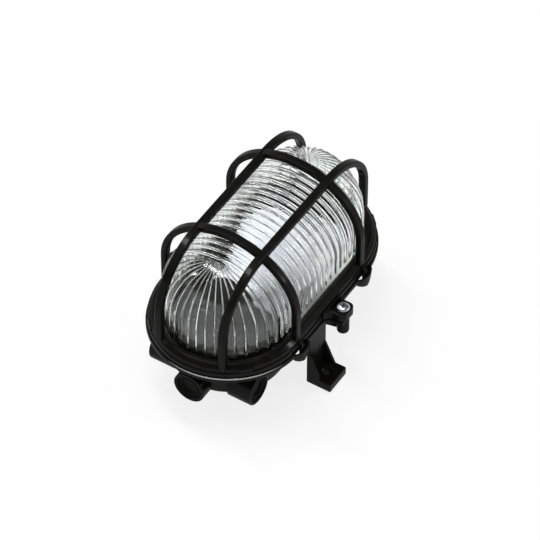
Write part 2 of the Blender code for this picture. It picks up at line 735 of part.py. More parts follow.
def make_base(material):
    """Tray, flange, entries, legs, hinge ears, screw boss and posts: all one moulding."""
    edge = MOULD_EDGE
    bottom = RIM - TRAY_DEPTH
    profile = quarter(TRAY_BOTTOM_RADIUS - TRAY_FILLET, bottom + TRAY_FILLET, TRAY_FILLET, -90)
    profile += [
        (TRAY_TOP_RADIUS, RIM - FLANGE_DEPTH - edge), (RIM_RADIUS - edge, RIM - FLANGE_DEPTH),
        (RIM_RADIUS, RIM - FLANGE_DEPTH + edge), (RIM_RADIUS, RIM - FIT_GAP),
    ]
    base = stadium_solid("base_housing", profile, material)
    fuse(base, base_additions())
    cut(base, base_hollows())
    add_posts(base)
    return base


def posts():
    """Each post's name, place in plan and top: for the bracket, the terminal block and the reflector."""
    low = FLOOR_TOP + LOW_POST
    high = RIM - REFLECTOR_DROP - FIT_GAP
    bracket_y = -(HOLDER_BACK_Y + FIT_GAP + SHEET_THICK + BRACKET_FOOT * 0.55)
    found = [(f"bracket_{side}", side * BRACKET_SCREW_X, bracket_y, low) for side in (-1, 1)]
    found += [(f"block_{side}", side * WAY_PITCH / 2, BLOCK_Y, low) for side in (-1, 1)]
    found += [(f"reflector_{i}", 0, y, high) for i, y in enumerate(REFLECTOR_SCREWS_Y)]
    return found


def add_posts(base):
    """Screw posts on the tray floor, each with a blind pilot hole."""
    pilot = SMALL_SCREW_RADIUS + FIT_GAP
    solid, holes = [], []
    for name, x, y, top in posts():
        post = rod(f"post_{name}", POST_RADIUS, FLOOR_TOP - TRAY_FLOOR / 2, top)
        solid.append(aim(post, (0, 0, 1), (x, y, 0)))
        hole = rod(f"pilot_{name}", pilot, top - SMALL_SCREW_LENGTH, top + EPSILON, SMALL_STEPS)
        holes.append(aim(hole, (0, 0, 1), (x, y, 0)))
    fuse(base, solid)
    cut(base, holes)


def make_gasket(material):
    inner, outer = GASKET_INNER_RADIUS, GASKET_INNER_RADIUS + GASKET_WIDTH
    low = GROOVE_FLOOR + FIT_GAP
    bead = GASKET_WIDTH / 4
    profile = [
        (inner, low), (outer, low), (outer, GASKET_TOP - bead), (outer - bead, GASKET_TOP),
        (inner + bead, GASKET_TOP), (inner, GASKET_TOP - bead),
    ]
    return stadium_ring("base_gasket", profile, material)


def half_width(radius, y):
    """Half the width of a stadium of this radius at a distance along Y."""
    beyond = max(abs(y) - SIDE_HALF, 0)
    return math.sqrt(radius ** 2 - beyond ** 2)


def glass_stations():
    """Stations round the glass: (ridge y, foot point, outward normal, rib swell from 0 to 1, fan)."""
    ribs = max(2, round(2 * GLASS_POLE_Y / RIB_PITCH))
    side = []
    for i in range(2 * ribs + 1):
        y = -GLASS_POLE_Y + 2 * GLASS_POLE_Y * i / (2 * ribs)
        x = half_width(GLASS_RADIUS, y)
        centre = max(-SIDE_HALF, min(SIDE_HALF, y))
        normal = Vector((x, y - centre, 0)).normalized()
        side.append((y, Vector((x, y, 0)), normal, i % 2, False))
    far = []
    for i in range(1, 2 * END_RIBS):
        angle = math.pi * i / (2 * END_RIBS)
        along = Vector((math.cos(angle), math.sin(angle), 0))
        offset = Vector((0, GLASS_POLE_Y - SIDE_HALF, 0))
        lead = offset.dot(along)
        reach = math.sqrt(lead ** 2 + GLASS_RADIUS ** 2 - offset.length_squared) - lead
        spot = offset + along * reach
        far.append((GLASS_POLE_Y, spot + Vector((0, SIDE_HALF, 0)), spot.normalized(), i % 2, True))

    def turned_half(station):
        ridge, spot, normal, swell, fan = station
        return (-ridge, -spot, -normal, swell, fan)

    half = side + far
    return half + [turned_half(station) for station in half]


def glass_point(station, share, radius_cut, swell):
    """A dome point: share runs from 0 at the ridge to 1 at the spring line."""
    ridge, spot, normal, _, _ = station
    root = Vector((0, ridge, 0))
    rise = GLASS_TOP - GLASS_SPRING - radius_cut
    height = math.sqrt(1 - share ** 2)
    flat = root + (spot - normal * radius_cut - root) * share
    push = (normal * share + Vector((0, 0, height))).normalized() * swell
    return flat + Vector((0, 0, RIM + GLASS_SPRING + rise * height)) + push


def make_glass(material):
    """Pressed glass: reeds across the dome that fan out from a pole at each end, over a plain foot."""
    stations = glass_stations()
    bm = bmesh.new()

    def row(offset, z, ribbed=0.0):
        made = []
        for _, spot, normal, swell, _ in stations:
            point = spot + normal * (offset + ribbed * swell)
            made.append(bm.verts.new((point.x, point.y, z)))
        return made

    def dome(rows, radius_cut, ribbed):
        made = []
        for k in range(rows):
            share = math.cos(math.pi / 2 * k / rows)
            line = []
            for station in stations:
                fade = min(1.0, share * FAN_FADE) if station[4] else 1.0
                swell = ribbed * station[3] * fade
                line.append(bm.verts.new(glass_point(station, share, radius_cut, swell)))
            made.append(line)
        crest = {}
        top = []
        for station in stations:
            key = round(station[0], 6)
            if key not in crest:
                swell = ribbed * station[3] * (abs(station[0]) < GLASS_POLE_Y - EPSILON)
                crest[key] = bm.verts.new(glass_point(station, 0.0, radius_cut, swell))
            top.append(crest[key])
        return made + [top]

    def skin(low, high):
        count = len(low)
        for i in range(count):
            j = (i + 1) % count
            corners = [low[i], low[j], high[j], high[i]]
            if high[i] is high[j]:
                corners.pop()
            bm.faces.new(corners)

    flange = GLASS_FLANGE_OUT
    band = RIM + RIB_FOOT
    rows = dome(INNER_ROWS, GLASS_WALL, 0.0)[::-1]
    rows.append(row(-GLASS_WALL, GLASS_FOOT))
    rows.append(row(flange, GLASS_FOOT))
    rows.append(row(flange, GLASS_FLANGE_TOP))
    rows.append(row(0, GLASS_FLANGE_TOP))
    rows.append(row(0, band))
    rows.append(row(0, band + RIB_HEIGHT, RIB_HEIGHT))
    rows += dome(DOME_ROWS, 0.0, RIB_HEIGHT)
    for low, high in zip(rows, rows[1:]):
        if low[0] is low[-1] or len(set(low)) < len(low):
            skin(high, low)
        else:
            skin(low, high)
    return finish_mesh("glass_diffuser", bm, material)


def guard_additions():
    """Hoops, bars, hinge cheeks, tongues and clip bosses, and the plate of the screw ear."""
    across_x, across_y = Vector((1, 0, 0)), Vector((0, 1, 0))
    wall_middle = RIM_RADIUS - RING_WALL / 2
    parts = []
    for side in (-1, 1):
        parts.append(sweep_bar(f"hoop_{side}", hoop_path(side * HOOP_Y), across_y))
        parts.append(sweep_bar(f"bar_{side}", bar_path(side * BAR_X), across_x))
        for flank in (-1, 1):
            middle = side * HINGE_Y + flank * (BASE_EAR_WIDTH / 2 + FIT_GAP + CHEEK_WIDTH / 2)
            low, high = middle - CHEEK_WIDTH / 2, middle + CHEEK_WIDTH / 2
            parts.append(prism(f"cheek_{side}_{flank}", cheek_outline(), low, high, "Y"))
        tongue = [
            (wall_middle, RIM + RING_SKIRT - EPSILON), (wall_middle, RIM - TONGUE_DEPTH),
            (RIM_RADIUS + TONGUE_OUT * 0.6, RIM - TONGUE_DEPTH),
            (RIM_RADIUS + TONGUE_OUT, RIM - TONGUE_DEPTH * 0.75),
            (RIM_RADIUS + TONGUE_OUT, RIM + RING_SKIRT / 2),
        ]
        low = side * TONGUE_Y - TONGUE_WIDTH / 2
        parts.append(prism(f"tongue_{side}", tongue, low, low + TONGUE_WIDTH, "Y"))
    parts.append(prism("guard_ear", ear_outline(), RIM + LIP_STEP, RIM + GUARD_EAR_HEIGHT - LIP_STEP))
    half = CLIP_WIDTH / 2 + EPSILON / 2
    for degrees in CLIP_ANGLES:
        boss = box(f"clip_boss_{degrees}", (CHANNEL_INNER - EPSILON, -half, CLIP_SEAT),
                   (CHANNEL_OUTER + EPSILON, half, CHANNEL_ROOF + EPSILON / 2))
        boss.matrix_world = clip_place(degrees)
        parts.append(boss)
    return parts


def ear_outline():
    """Screw ear from above: flared where it leaves the ring, with rounded corners at its end."""
    steps = END_STEPS // 3
    flare, corner = [], []
    for i in range(steps + 1):
        angle = math.pi / 2 * i / steps
        flare.append((RIM_RADIUS + GUARD_EAR_FLARE * (1 - math.cos(angle)),
                      GUARD_EAR_HALF + GUARD_EAR_FLARE * (1 - math.sin(angle))))
        corner.append((GUARD_EAR_END - GUARD_EAR_CORNER * (1 - math.sin(angle)),
                       GUARD_EAR_HALF - GUARD_EAR_CORNER * (1 - math.cos(angle))))
    wall_middle = RIM_RADIUS - RING_WALL / 2
    upper = [(wall_middle, GUARD_EAR_HALF + GUARD_EAR_FLARE)] + flare + corner
    return [(x, -y) for x, y in upper] + upper[::-1]


def clip_place(degrees):
    """Matrix that takes a clip, made along +X from an arc's centre, to its place on the ring."""
    turn = Matrix.Rotation(math.radians(degrees), 4, "Z")
    return Matrix.Translation(diagonal_point(degrees, 0)) @ turn


def guard_hollows():
    """Clip notches, the pocket beside the screw, and all the holes but the screw's own."""
    ear_top = RIM + GUARD_EAR_HEIGHT
    inner = GUARD_EAR_HALF - EAR_RIB
    low_x = RIM_RADIUS + LIP_STEP
    high_x = low_x + EAR_POCKET_LENGTH
    pocket = [(low_x, -inner), (high_x, -inner), (high_x, inner), (low_x, inner)]
    parts = [prism("ear_pocket", pocket, ear_top - EAR_POCKET_DEPTH, ear_top + EPSILON)]
    half = CLIP_WIDTH / 2 + EPSILON / 2
    for degrees in CLIP_ANGLES:
        notch = box(f"clip_notch_{degrees}", (RING_SEAT_RADIUS - EPSILON, -half, RIM - EPSILON),
                    (CHANNEL_INNER + EPSILON / 2, half, CLIP_SEAT))
        hole = rod(f"clip_hole_{degrees}", CLIP_SCREW_RADIUS + FIT_GAP, CLIP_SEAT - EPSILON,
                   CLIP_SEAT + CLIP_SCREW_LENGTH, SMALL_STEPS)
        hole.data.transform(Matrix.Translation((CLIP_RADIUS, 0, 0)))
        notch.matrix_world = clip_place(degrees)
        hole.matrix_world = clip_place(degrees)
        parts += [notch, hole]
    reach = BASE_EAR_WIDTH / 2 + FIT_GAP + CHEEK_WIDTH + EPSILON
    for side in (-1, 1):
        hole = rod(f"pin_hole_guard_{side}", PIN_RADIUS + FIT_GAP, -reach, reach)
        parts.append(aim(hole, (0, 1, 0), (HINGE_X, side * HINGE_Y, HINGE_Z)))
    return parts


def make_guard(material):
    """Ring, hoops, bars, screw ear, hinge cheeks and tongues: all one moulding."""
    shoulder = RIM + RING_SKIRT + RING_SHOULDER
    lip = GLASS_RADIUS + LIP_TO_GLASS
    crest = RIM + RING_CREST_HEIGHT
    seat = GLASS_FLANGE_TOP + FIT_GAP
    edge = RING_EDGE
    profile = [
        (RIM_RADIUS - edge, RIM), (RIM_RADIUS, RIM + edge), (RIM_RADIUS, RIM + RING_SKIRT),
        (RIM_RADIUS - RING_SHOULDER, shoulder), (RING_CREST_RADIUS + 2 * edge, crest - edge / 2),
        (RING_CREST_RADIUS, crest), (RING_CREST_RADIUS - 2 * edge, crest - edge),
        (lip, RIM + RING_LIP_HEIGHT), (lip, seat), (RING_SEAT_RADIUS, seat), (RING_SEAT_RADIUS, RIM),
        (CHANNEL_INNER, RIM), (CHANNEL_INNER, CHANNEL_ROOF), (CHANNEL_OUTER, CHANNEL_ROOF),
        (CHANNEL_OUTER, RIM),
    ]
    guard = stadium_ring("guard_frame", profile, material)
    fuse(guard, guard_additions())
    cut(guard, guard_hollows())
    ear_top = RIM + GUARD_EAR_HEIGHT
    seat_pad = rod("screw_seat", SCREW_SEAT_RADIUS, RIM + LIP_STEP + EPSILON, ear_top, WIDE_STEPS)
    fuse(guard, [aim(seat_pad, (0, 0, 1), (SCREW_X, 0, 0))])
    screw_hole = rod("screw_hole", SCREW_RADIUS + FIT_GAP, RIM - EPSILON, ear_top + EPSILON)
    retainer_top = RIM + RETAINER_THICK + 3 * FIT_GAP
    retainer_hole = rod("retainer_hole", RETAINER_RADIUS + FIT_GAP, RIM - EPSILON, retainer_top)
    cut(guard, [aim(hole, (0, 0, 1), (SCREW_X, 0, 0)) for hole in (screw_hole, retainer_hole)])
    return guard


def make_hinge_pins(material):
    reach = BASE_EAR_WIDTH / 2 + FIT_GAP + CHEEK_WIDTH
    for side, name in ((-1, "hinge_pin_near"), (1, "hinge_pin_far")):
        bevel = PIN_RADIUS / 4
        profile = [(0, -reach), (PIN_RADIUS - bevel, -reach), (PIN_RADIUS, -reach + bevel),
                   (PIN_RADIUS, reach - bevel), (PIN_RADIUS - bevel, reach), (0, reach)]
        pin = turned(name, profile, HOLE_STEPS, material)
        aim(pin, (0, 1, 0), (HINGE_X, side * HINGE_Y, HINGE_Z))


def make_clips(plate_material, screw_material):
    """Four sheet clips, each with its screw, that hold the glass up in the guard."""
    low = GLASS_FLANGE_RADIUS - CLIP_OVERLAP
    high = CHANNEL_OUTER - 3 * FIT_GAP
    top = GLASS_FOOT - FIT_GAP
    screw = pan_screw(CLIP_SCREW_RADIUS, CLIP_SCREW_LENGTH - EPSILON, CLIP_HEAD_RADIUS,
                      CLIP_HEAD_HEIGHT, screw_material)
    for number, degrees in enumerate(CLIP_ANGLES, 1):
        half = CLIP_WIDTH / 2
        corner = 2 * EPSILON
        outline = [(low, corner - half), (low + corner, -half), (high, -half),
                   (high, half), (low + corner, half), (low, half - corner)]
        clip = prism(f"glass_clip_{number}", outline, top - CLIP_THICK, top, "Z", plate_material)
        hole = rod(f"clip_plate_hole_{number}", CLIP_SCREW_RADIUS + FIT_GAP, top - 2 * CLIP_THICK,
                   top + CLIP_THICK, SMALL_STEPS)
        hole.data.transform(Matrix.Translation((CLIP_RADIUS, 0, 0)))
        clip.matrix_world = clip_place(degrees)
        hole.matrix_world = clip_place(degrees)
        cut(clip, [hole])
        spot = diagonal_point(degrees, CLIP_RADIUS) + Vector((0, 0, top - CLIP_THICK - FIT_GAP))
        copy_of(f"clip_screw_{number}", screw, spot, (0, 0, -1))


def make_closing_screw(zinc, brass, steel):
    """Captive screw of the guard, its retaining ring and the insert that it enters."""
    head_seat = RIM + GUARD_EAR_HEIGHT + FIT_GAP
    mesh = pan_screw(SCREW_RADIUS, SCREW_LENGTH, SCREW_HEAD_RADIUS, SCREW_HEAD_HEIGHT, zinc,
                     WIDE_STEPS, recess=True)
    copy_of("guard_screw", mesh, (SCREW_X, 0, head_seat))
    low = RIM + FIT_GAP
    hole = SCREW_RADIUS + FIT_GAP
    high = low + RETAINER_THICK
    ring = [(hole, low), (RETAINER_RADIUS, low), (RETAINER_RADIUS, high), (hole, high)]
    aim(turned("screw_retainer", ring, HOLE_STEPS, steel, hollow=True), (0, 0, 1), (SCREW_X, 0, 0))
    high = RIM - FIT_GAP - LIP_STEP - FIT_GAP
    low = high - INSERT_LENGTH
    bore = SCREW_RADIUS + SCREW_PLAY
    waist = (INSERT_RADIUS - bore) / 3
    sleeve = [
        (bore, low), (INSERT_RADIUS, low), (INSERT_RADIUS - waist, (low + high) / 2),
        (INSERT_RADIUS, high), (bore, high),
    ]
    aim(turned("screw_insert", sleeve, HOLE_STEPS, brass, hollow=True), (0, 0, 1), (SCREW_X, 0, 0))


def thread_wave(height, start):
    """Swell of the round thread at a height along the lamp's axis."""
    return THREAD_SWELL * math.sin(2 * math.pi * (height - start) / THREAD_PITCH)


def lamp_place(obj):
    """Put a piece made along Z on the lamp's axis, its origin at the lampholder's back."""
    return aim(obj, (0, 1, 0), (0, -HOLDER_BACK_Y, LAMP_AXIS))


def cap_heights():
    """Tip of the lamp's cap and the two ends of its thread, from the lampholder's back."""
    tip = HOLDER_FLOOR + FIT_GAP + CONTACT_HEIGHT + FIT_GAP
    return tip, tip + THREAD_START, tip + CAP_LENGTH - THREAD_END


def make_lampholder(body_material, brass):
    """Moulded cup, threaded shell and centre contact of a large screw lampholder."""
    tip, thread_low, thread_high = cap_heights()
    shell_low = HOLDER_FLOOR + FIT_GAP
    shell_high = HOLDER_LENGTH - SHEET_THICK
    steps = THREAD_ROWS * round((thread_high - thread_low) / THREAD_PITCH)
    heights = [thread_low + (thread_high - thread_low) * i / steps for i in range(steps + 1)]
    heights = [height for height in heights if height < shell_high - EPSILON]
    inner = CAP_MEAN_RADIUS + SHELL_PLAY
    outer = inner + SHELL_THICK

    def wall(radius):
        wave = [(radius + thread_wave(height, thread_low), height) for height in heights]
        return [(radius, shell_low)] + wave + [(radius, shell_high)]

    profile = wall(outer) + wall(inner)[::-1]
    lamp_place(turned("lampholder_shell", profile, LAMP_SEGMENTS, brass, hollow=True))

    bore = outer + THREAD_SWELL + FIT_GAP
    edge = 2.0 * MM
    body = [
        (0, 0), (HOLDER_RADIUS - edge, 0), (HOLDER_RADIUS, edge), (HOLDER_RADIUS, HOLDER_LENGTH * 0.55),
        (HOLDER_RADIUS - edge, HOLDER_LENGTH * 0.62), (HOLDER_RADIUS - edge, HOLDER_LENGTH),
        (bore, HOLDER_LENGTH), (bore, HOLDER_FLOOR), (0, HOLDER_FLOOR),
    ]
    holder = lamp_place(turned("lampholder_body", body, WIDE_STEPS, body_material))
    holes = []
    for side in (-1, 1):
        pilot = rod(f"holder_pilot_{side}", SMALL_SCREW_RADIUS + FIT_GAP, -EPSILON,
                    HOLDER_FLOOR - EPSILON, SMALL_STEPS)
        holes.append(aim(pilot, (0, 1, 0), (side * HOLDER_SCREW_X, -HOLDER_BACK_Y, LAMP_AXIS)))
        well = rod(f"lead_well_{side}", LEAD_RADIUS + FIT_GAP, -4 * EPSILON,
                   LEAD_ENTRY + FIT_GAP, SMALL_STEPS)
        holes.append(aim(well, (0, 0, 1), lead_top(side) - Vector((0, 0, LEAD_ENTRY))))
    cut(holder, holes)

    low = HOLDER_FLOOR + FIT_GAP
    contact = [(0, low), (CONTACT_RADIUS, low), (CONTACT_RADIUS, low + CONTACT_HEIGHT * 0.4),
               (CONTACT_RADIUS * 0.5, low + CONTACT_HEIGHT), (0, low + CONTACT_HEIGHT)]
    lamp_place(turned("lampholder_contact", contact, HOLE_STEPS, brass))


def lead_top(side):
    """Upper end of a lead, inside its well under the lampholder."""
    x = side * WAY_PITCH / 2
    drop = math.sqrt(HOLDER_RADIUS ** 2 - x ** 2)
    return Vector((x, -HOLDER_BACK_Y + LEAD_SETBACK, LAMP_AXIS - drop + LEAD_ENTRY))


def make_bulb(material):
    """A lamp with a screw cap: one sealed solid."""
    tip, thread_low, thread_high = cap_heights()
    cap_end = tip + CAP_LENGTH
    steps = THREAD_ROWS * round((thread_high - thread_low) / THREAD_PITCH)
    profile = [(0, tip), (CONTACT_RADIUS, tip), (CONTACT_RADIUS * 1.3, tip + 1.2 * MM),
               (CAP_MEAN_RADIUS - THREAD_SWELL, tip + 5.0 * MM)]
    for i in range(steps + 1):
        height = thread_low + (thread_high - thread_low) * i / steps
        profile.append((CAP_MEAN_RADIUS + thread_wave(height, thread_low), height))
    profile += [(CAP_MEAN_RADIUS + THREAD_SWELL, cap_end), (NECK_RADIUS - 1.0 * MM, cap_end + 0.2 * MM)]
    globe = tip + BULB_LENGTH - BULB_RADIUS
    join = math.radians(GLOBE_JOIN)
    end = Vector((BULB_RADIUS * math.sin(join), globe + BULB_RADIUS * math.cos(join)))
    start = Vector((NECK_RADIUS, cap_end + 4.0 * MM))
    out_start = Vector((0, 1)) * NECK_REACH
    out_end = Vector((-math.cos(join), math.sin(join))) * NECK_REACH
    for i in range(NECK_ROWS):
        t = i / NECK_ROWS
        point = (start * (1 + 2 * t) * (1 - t) ** 2 + out_start * t * (1 - t) ** 2
                 + end * t * t * (3 - 2 * t) + out_end * t * t * (t - 1))
        profile.append(tuple(point))
    for i in range(GLOBE_ROWS + 1):
        angle = join * (1 - i / GLOBE_ROWS)
        profile.append((BULB_RADIUS * math.sin(angle), globe + BULB_RADIUS * math.cos(angle)))
    profile[-1] = (0, globe + BULB_RADIUS)
    lamp_place(turned("lamp_bulb", profile, LAMP_SEGMENTS, material))


def make_bracket(material, screw):
    """Bent sheet: a foot on two posts and an upright behind the lampholder."""
    front = -(HOLDER_BACK_Y + FIT_GAP)
    back = front - SHEET_THICK
    low = FLOOR_TOP + LOW_POST + FIT_GAP
    outline = [(-BRACKET_HALF, low)]
    outline.append((BRACKET_HALF, low))
    for i in range(HOLE_STEPS + 1):
        angle = math.pi * i / HOLE_STEPS
        outline.append((BRACKET_HALF * math.cos(angle), LAMP_AXIS + BRACKET_HALF * math.sin(angle)))
    bracket = prism("lampholder_bracket", outline, back, front, "Y", material)
    foot = box("bracket_foot", (-BRACKET_HALF, back - BRACKET_FOOT, low),
               (BRACKET_HALF, back + SHEET_THICK / 2, low + SHEET_THICK))
    fuse(bracket, [foot])
    radius = SMALL_SCREW_RADIUS + FIT_GAP
    holes = []
    for name, x, y, top in posts():
        if name.startswith("bracket"):
            hole = rod(f"foot_screw_hole_{name}", radius, top - EPSILON, top + 4 * EPSILON, SMALL_STEPS)
            holes.append(aim(hole, (0, 0, 1), (x, y, 0)))
            copy_of(f"bracket_screw_{'left' if x < 0 else 'right'}", screw,
                    (x, y, low + SHEET_THICK + FIT_GAP))
    for side, name in ((-1, "left"), (1, "right")):
        spot = Vector((side * HOLDER_SCREW_X, back, LAMP_AXIS))
        hole = rod(f"holder_screw_hole_{name}", radius, -4 * EPSILON, 4 * EPSILON, SMALL_STEPS)
        holes.append(aim(hole, (0, 1, 0), spot))
        copy_of(f"holder_screw_{name}", screw, spot - Vector((0, FIT_GAP, 0)), (0, -1, 0))
    cut(bracket, holes)


def make_terminal_block(material, steel, screw):
    """Three-way block: a port each side and a screw well above each port."""
    low = FLOOR_TOP + LOW_POST + FIT_GAP
    high = low + BLOCK_HEIGHT
    half_x, half_y = BLOCK_LENGTH / 2, BLOCK_WIDTH / 2
    block = chamfer(box("terminal_block", (-half_x, BLOCK_Y - half_y, low), (half_x, BLOCK_Y + half_y, high),
                        material), MOULD_EDGE)
    well_offset = half_y * 0.5
    profile = [(0, 0), (TERMINAL_SCREW_RADIUS, 0), (TERMINAL_SCREW_RADIUS, TERMINAL_SCREW_HEIGHT),
               (0, TERMINAL_SCREW_HEIGHT)]
    grub = turned("grub", profile, SMALL_STEPS, steel)
    slot = 0.4 * MM
    cut(grub, [box("slot", (-slot, -WELL_RADIUS, TERMINAL_SCREW_HEIGHT - 2 * slot),
                   (slot, WELL_RADIUS, TERMINAL_SCREW_HEIGHT + EPSILON))])
    grub_mesh = shaped_mesh(grub)
    number = 0
    holes = []
    for way in (-1, 0, 1):
        x = way * WAY_PITCH
        for side in (-1, 1):
            number += 1
            y = BLOCK_Y + side * half_y
            port = rod(f"port_{number}", PORT_RADIUS, -half_y * 0.62, EPSILON, SMALL_STEPS)
            holes.append(aim(port, (0, side, 0), (x, y, high - WELL_DEPTH - PORT_DROP)))
            well = rod(f"well_{number}", WELL_RADIUS, high - WELL_DEPTH, high + EPSILON, SMALL_STEPS)
            holes.append(aim(well, (0, 0, 1), (x, BLOCK_Y + side * well_offset, 0)))
            copy_of(f"terminal_screw_{number}", grub_mesh,
                    (x, BLOCK_Y + side * well_offset, high - WELL_DEPTH + FIT_GAP))
    for name, x, y, top in posts():
        if not name.startswith("block"):
            continue
        shank = rod(f"fixing_hole_{name}", SMALL_SCREW_RADIUS + FIT_GAP, -EPSILON, BLOCK_HEIGHT, SMALL_STEPS)
        sink = rod(f"fixing_sink_{name}", SMALL_HEAD_RADIUS + FIT_GAP, SHEET_THICK,
                   BLOCK_HEIGHT + EPSILON, SMALL_STEPS)
        holes += [aim(hole, (0, 0, 1), (x, y, low)) for hole in (shank, sink)]
        copy_of(f"block_screw_{'left' if x < 0 else 'right'}", screw,
                (x, y, low + SHEET_THICK + FIT_GAP))
    cut(block, holes)


def reflector_loop(radius, near, z):
    """Outline of the reflector: a half circle at the far end and a straight near edge."""
    corner = REFLECTOR_CORNER
    loop = []
    for i in range(END_STEPS + 1):
        angle = math.pi * i / END_STEPS
        loop.append((radius * math.cos(angle), SIDE_HALF + radius * math.sin(angle), z))
    loop += [(-radius, near + corner, z), (corner - radius, near, z),
             (radius - corner, near, z), (radius, near + corner, z)]
    return loop


def make_reflector(material, screw):
    """Shallow sheet tray on two posts, with a turned-up edge all round."""
    low = RIM - REFLECTOR_DROP
    high = low + REFLECTOR_RIM
    flare, thick = REFLECTOR_FLARE, REFLECTOR_THICK
    loops = [
        reflector_loop(REFLECTOR_RADIUS, REFLECTOR_NEAR_Y, low),
        reflector_loop(REFLECTOR_RADIUS + flare, REFLECTOR_NEAR_Y - flare, high),
        reflector_loop(REFLECTOR_RADIUS + flare - thick, REFLECTOR_NEAR_Y - flare + thick, high),
        reflector_loop(REFLECTOR_RADIUS - thick, REFLECTOR_NEAR_Y + thick, low + thick),
    ]
    plate = loft("reflector_plate", loops, material)
    names = iter(("reflector_screw_near", "reflector_screw_far"))
    holes = []
    for name, x, y, top in posts():
        if name.startswith("reflector"):
            hole = rod(f"plate_hole_{name}", SMALL_SCREW_RADIUS + FIT_GAP, low - EPSILON,
                       low + 2 * EPSILON, SMALL_STEPS)
            holes.append(aim(hole, (0, 0, 1), (x, y, 0)))
            copy_of(next(names), screw, (x, y, low + thick + FIT_GAP))
    cut(plate, holes)


def make_leads(live, neutral):
    """Two insulated leads that rise from the block's ports to the wells under the lampholder."""
    high = FLOOR_TOP + LOW_POST + FIT_GAP + BLOCK_HEIGHT
    port_z = high - WELL_DEPTH - PORT_DROP
    for side, name, material in ((-1, "lead_live", live), (1, "lead_neutral", neutral)):
        top = lead_top(side)
        start = Vector((side * WAY_PITCH, BLOCK_Y - BLOCK_WIDTH / 2 + LEAD_TAIL, port_z))
        route = [start, start - Vector((0, LEAD_RUN, 0))]
        bend_from = route[-1]
        bend_to = Vector((top.x, top.y, top.z - LEAD_RISE))
        corner_low = Vector((bend_from.x, top.y, bend_from.z))
        for i in range(1, SMALL_STEPS + 1):
            t = i / SMALL_STEPS
            route.append(bend_from * (1 - t) ** 2 + corner_low * 2 * t * (1 - t) + bend_to * t * t)
        route.append(top)
        curve = bpy.data.curves.new(name, "CURVE")
        curve.dimensions = "3D"
        curve.bevel_depth = LEAD_RADIUS
        curve.bevel_resolution = 1
        curve.use_fill_caps = True
        spline = curve.splines.new("POLY")
        spline.points.add(len(route) - 1)
        for point, place in zip(spline.points, route):
            point.co = (*place, 1.0)
        curve.materials.append(material)
        lead = bpy.data.objects.new(name, curve)
        bpy.context.scene.collection.objects.link(lead)


def make_plugs(material):
    """Blanking plugs pushed into the three entries, with a raised ring on the face."""
    radius = ENTRY_BORE_RADIUS - FIT_GAP
    face = -PLUG_RECESS
    step = PLUG_STEP
    profile = [
        (0, -PLUG_LENGTH), (radius - step, -PLUG_LENGTH), (radius, -PLUG_LENGTH + step),
        (radius, face), (radius * 0.86, face), (radius * 0.86, face - step),
        (radius * 0.76, face - step), (radius * 0.76, face), (radius * 0.62, face),
        (radius * 0.62, face - 2 * step), (0, face - 2 * step),
    ]
    for name, spot, out in entries():
        aim(turned(f"entry_plug_{name}", profile, WIDE_STEPS, material), out, spot)


def build():
    clear_scene()
    black = make_material("black_moulding", (0.022, 0.021, 0.020), 0.42)
    glass = make_material("ribbed_glass", (0.90, 0.94, 0.92), 0.05, transmission=0.95)
    rubber = make_material("grey_rubber", (0.10, 0.10, 0.10), 0.75)
    plug = make_material("black_rubber", (0.03, 0.03, 0.03), 0.6)
    zinc = make_material("zinc_steel", (0.72, 0.73, 0.74), 0.28, metallic=1.0)
    steel = make_material("spring_steel", (0.60, 0.60, 0.60), 0.35, metallic=1.0)
    brass = make_material("brass", (0.80, 0.62, 0.30), 0.3, metallic=1.0)
    holder = make_material("holder_moulding", (0.05, 0.05, 0.05), 0.5)
    block = make_material("block_moulding", (0.85, 0.85, 0.82), 0.5)
    white = make_material("white_enamel", (0.88, 0.88, 0.87), 0.35)
    pearl = make_material("pearl_lamp", (0.93, 0.93, 0.92), 0.4)
    live = make_material("brown_insulation", (0.18, 0.08, 0.04), 0.5)
    neutral = make_material("blue_insulation", (0.05, 0.14, 0.40), 0.5)

    make_base(black)
    make_gasket(rubber)
    guard = make_guard(black)
    glass_piece = make_glass(glass)
    make_hinge_pins(zinc)
    make_clips(steel, zinc)
    make_closing_screw(zinc, brass, steel)
    small = pan_screw(SMALL_SCREW_RADIUS, SMALL_SCREW_LENGTH, SMALL_HEAD_RADIUS, SMALL_HEAD_HEIGHT, zinc)
    make_lampholder(holder, brass)
    make_bulb(pearl)
    make_bracket(zinc, small)
    make_terminal_block(block, steel, small)
    make_reflector(white, small)
    make_leads(live, neutral)
    make_plugs(plug)

    hinge = bpy.data.objects.new("guard_hinge", None)
    hinge.location = (HINGE_X, 0, HINGE_Z)
    bpy.context.scene.collection.objects.link(hinge)
    bpy.context.view_layer.update()
    swinging = [guard, glass_piece, bpy.data.objects["guard_screw"], bpy.data.objects["screw_retainer"]]
    for number in range(1, len(CLIP_ANGLES) + 1):
        swinging += [bpy.data.objects[f"glass_clip_{number}"], bpy.data.objects[f"clip_screw_{number}"]]
    for piece in swinging:
        piece.parent = hinge
        piece.matrix_parent_inverse = hinge.matrix_world.inverted()


build()
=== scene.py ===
from math import atan2, copysign, cos, hypot, pi, radians, sin, sqrt, tan

import bmesh
import bpy
from mathutils import Matrix, Vector


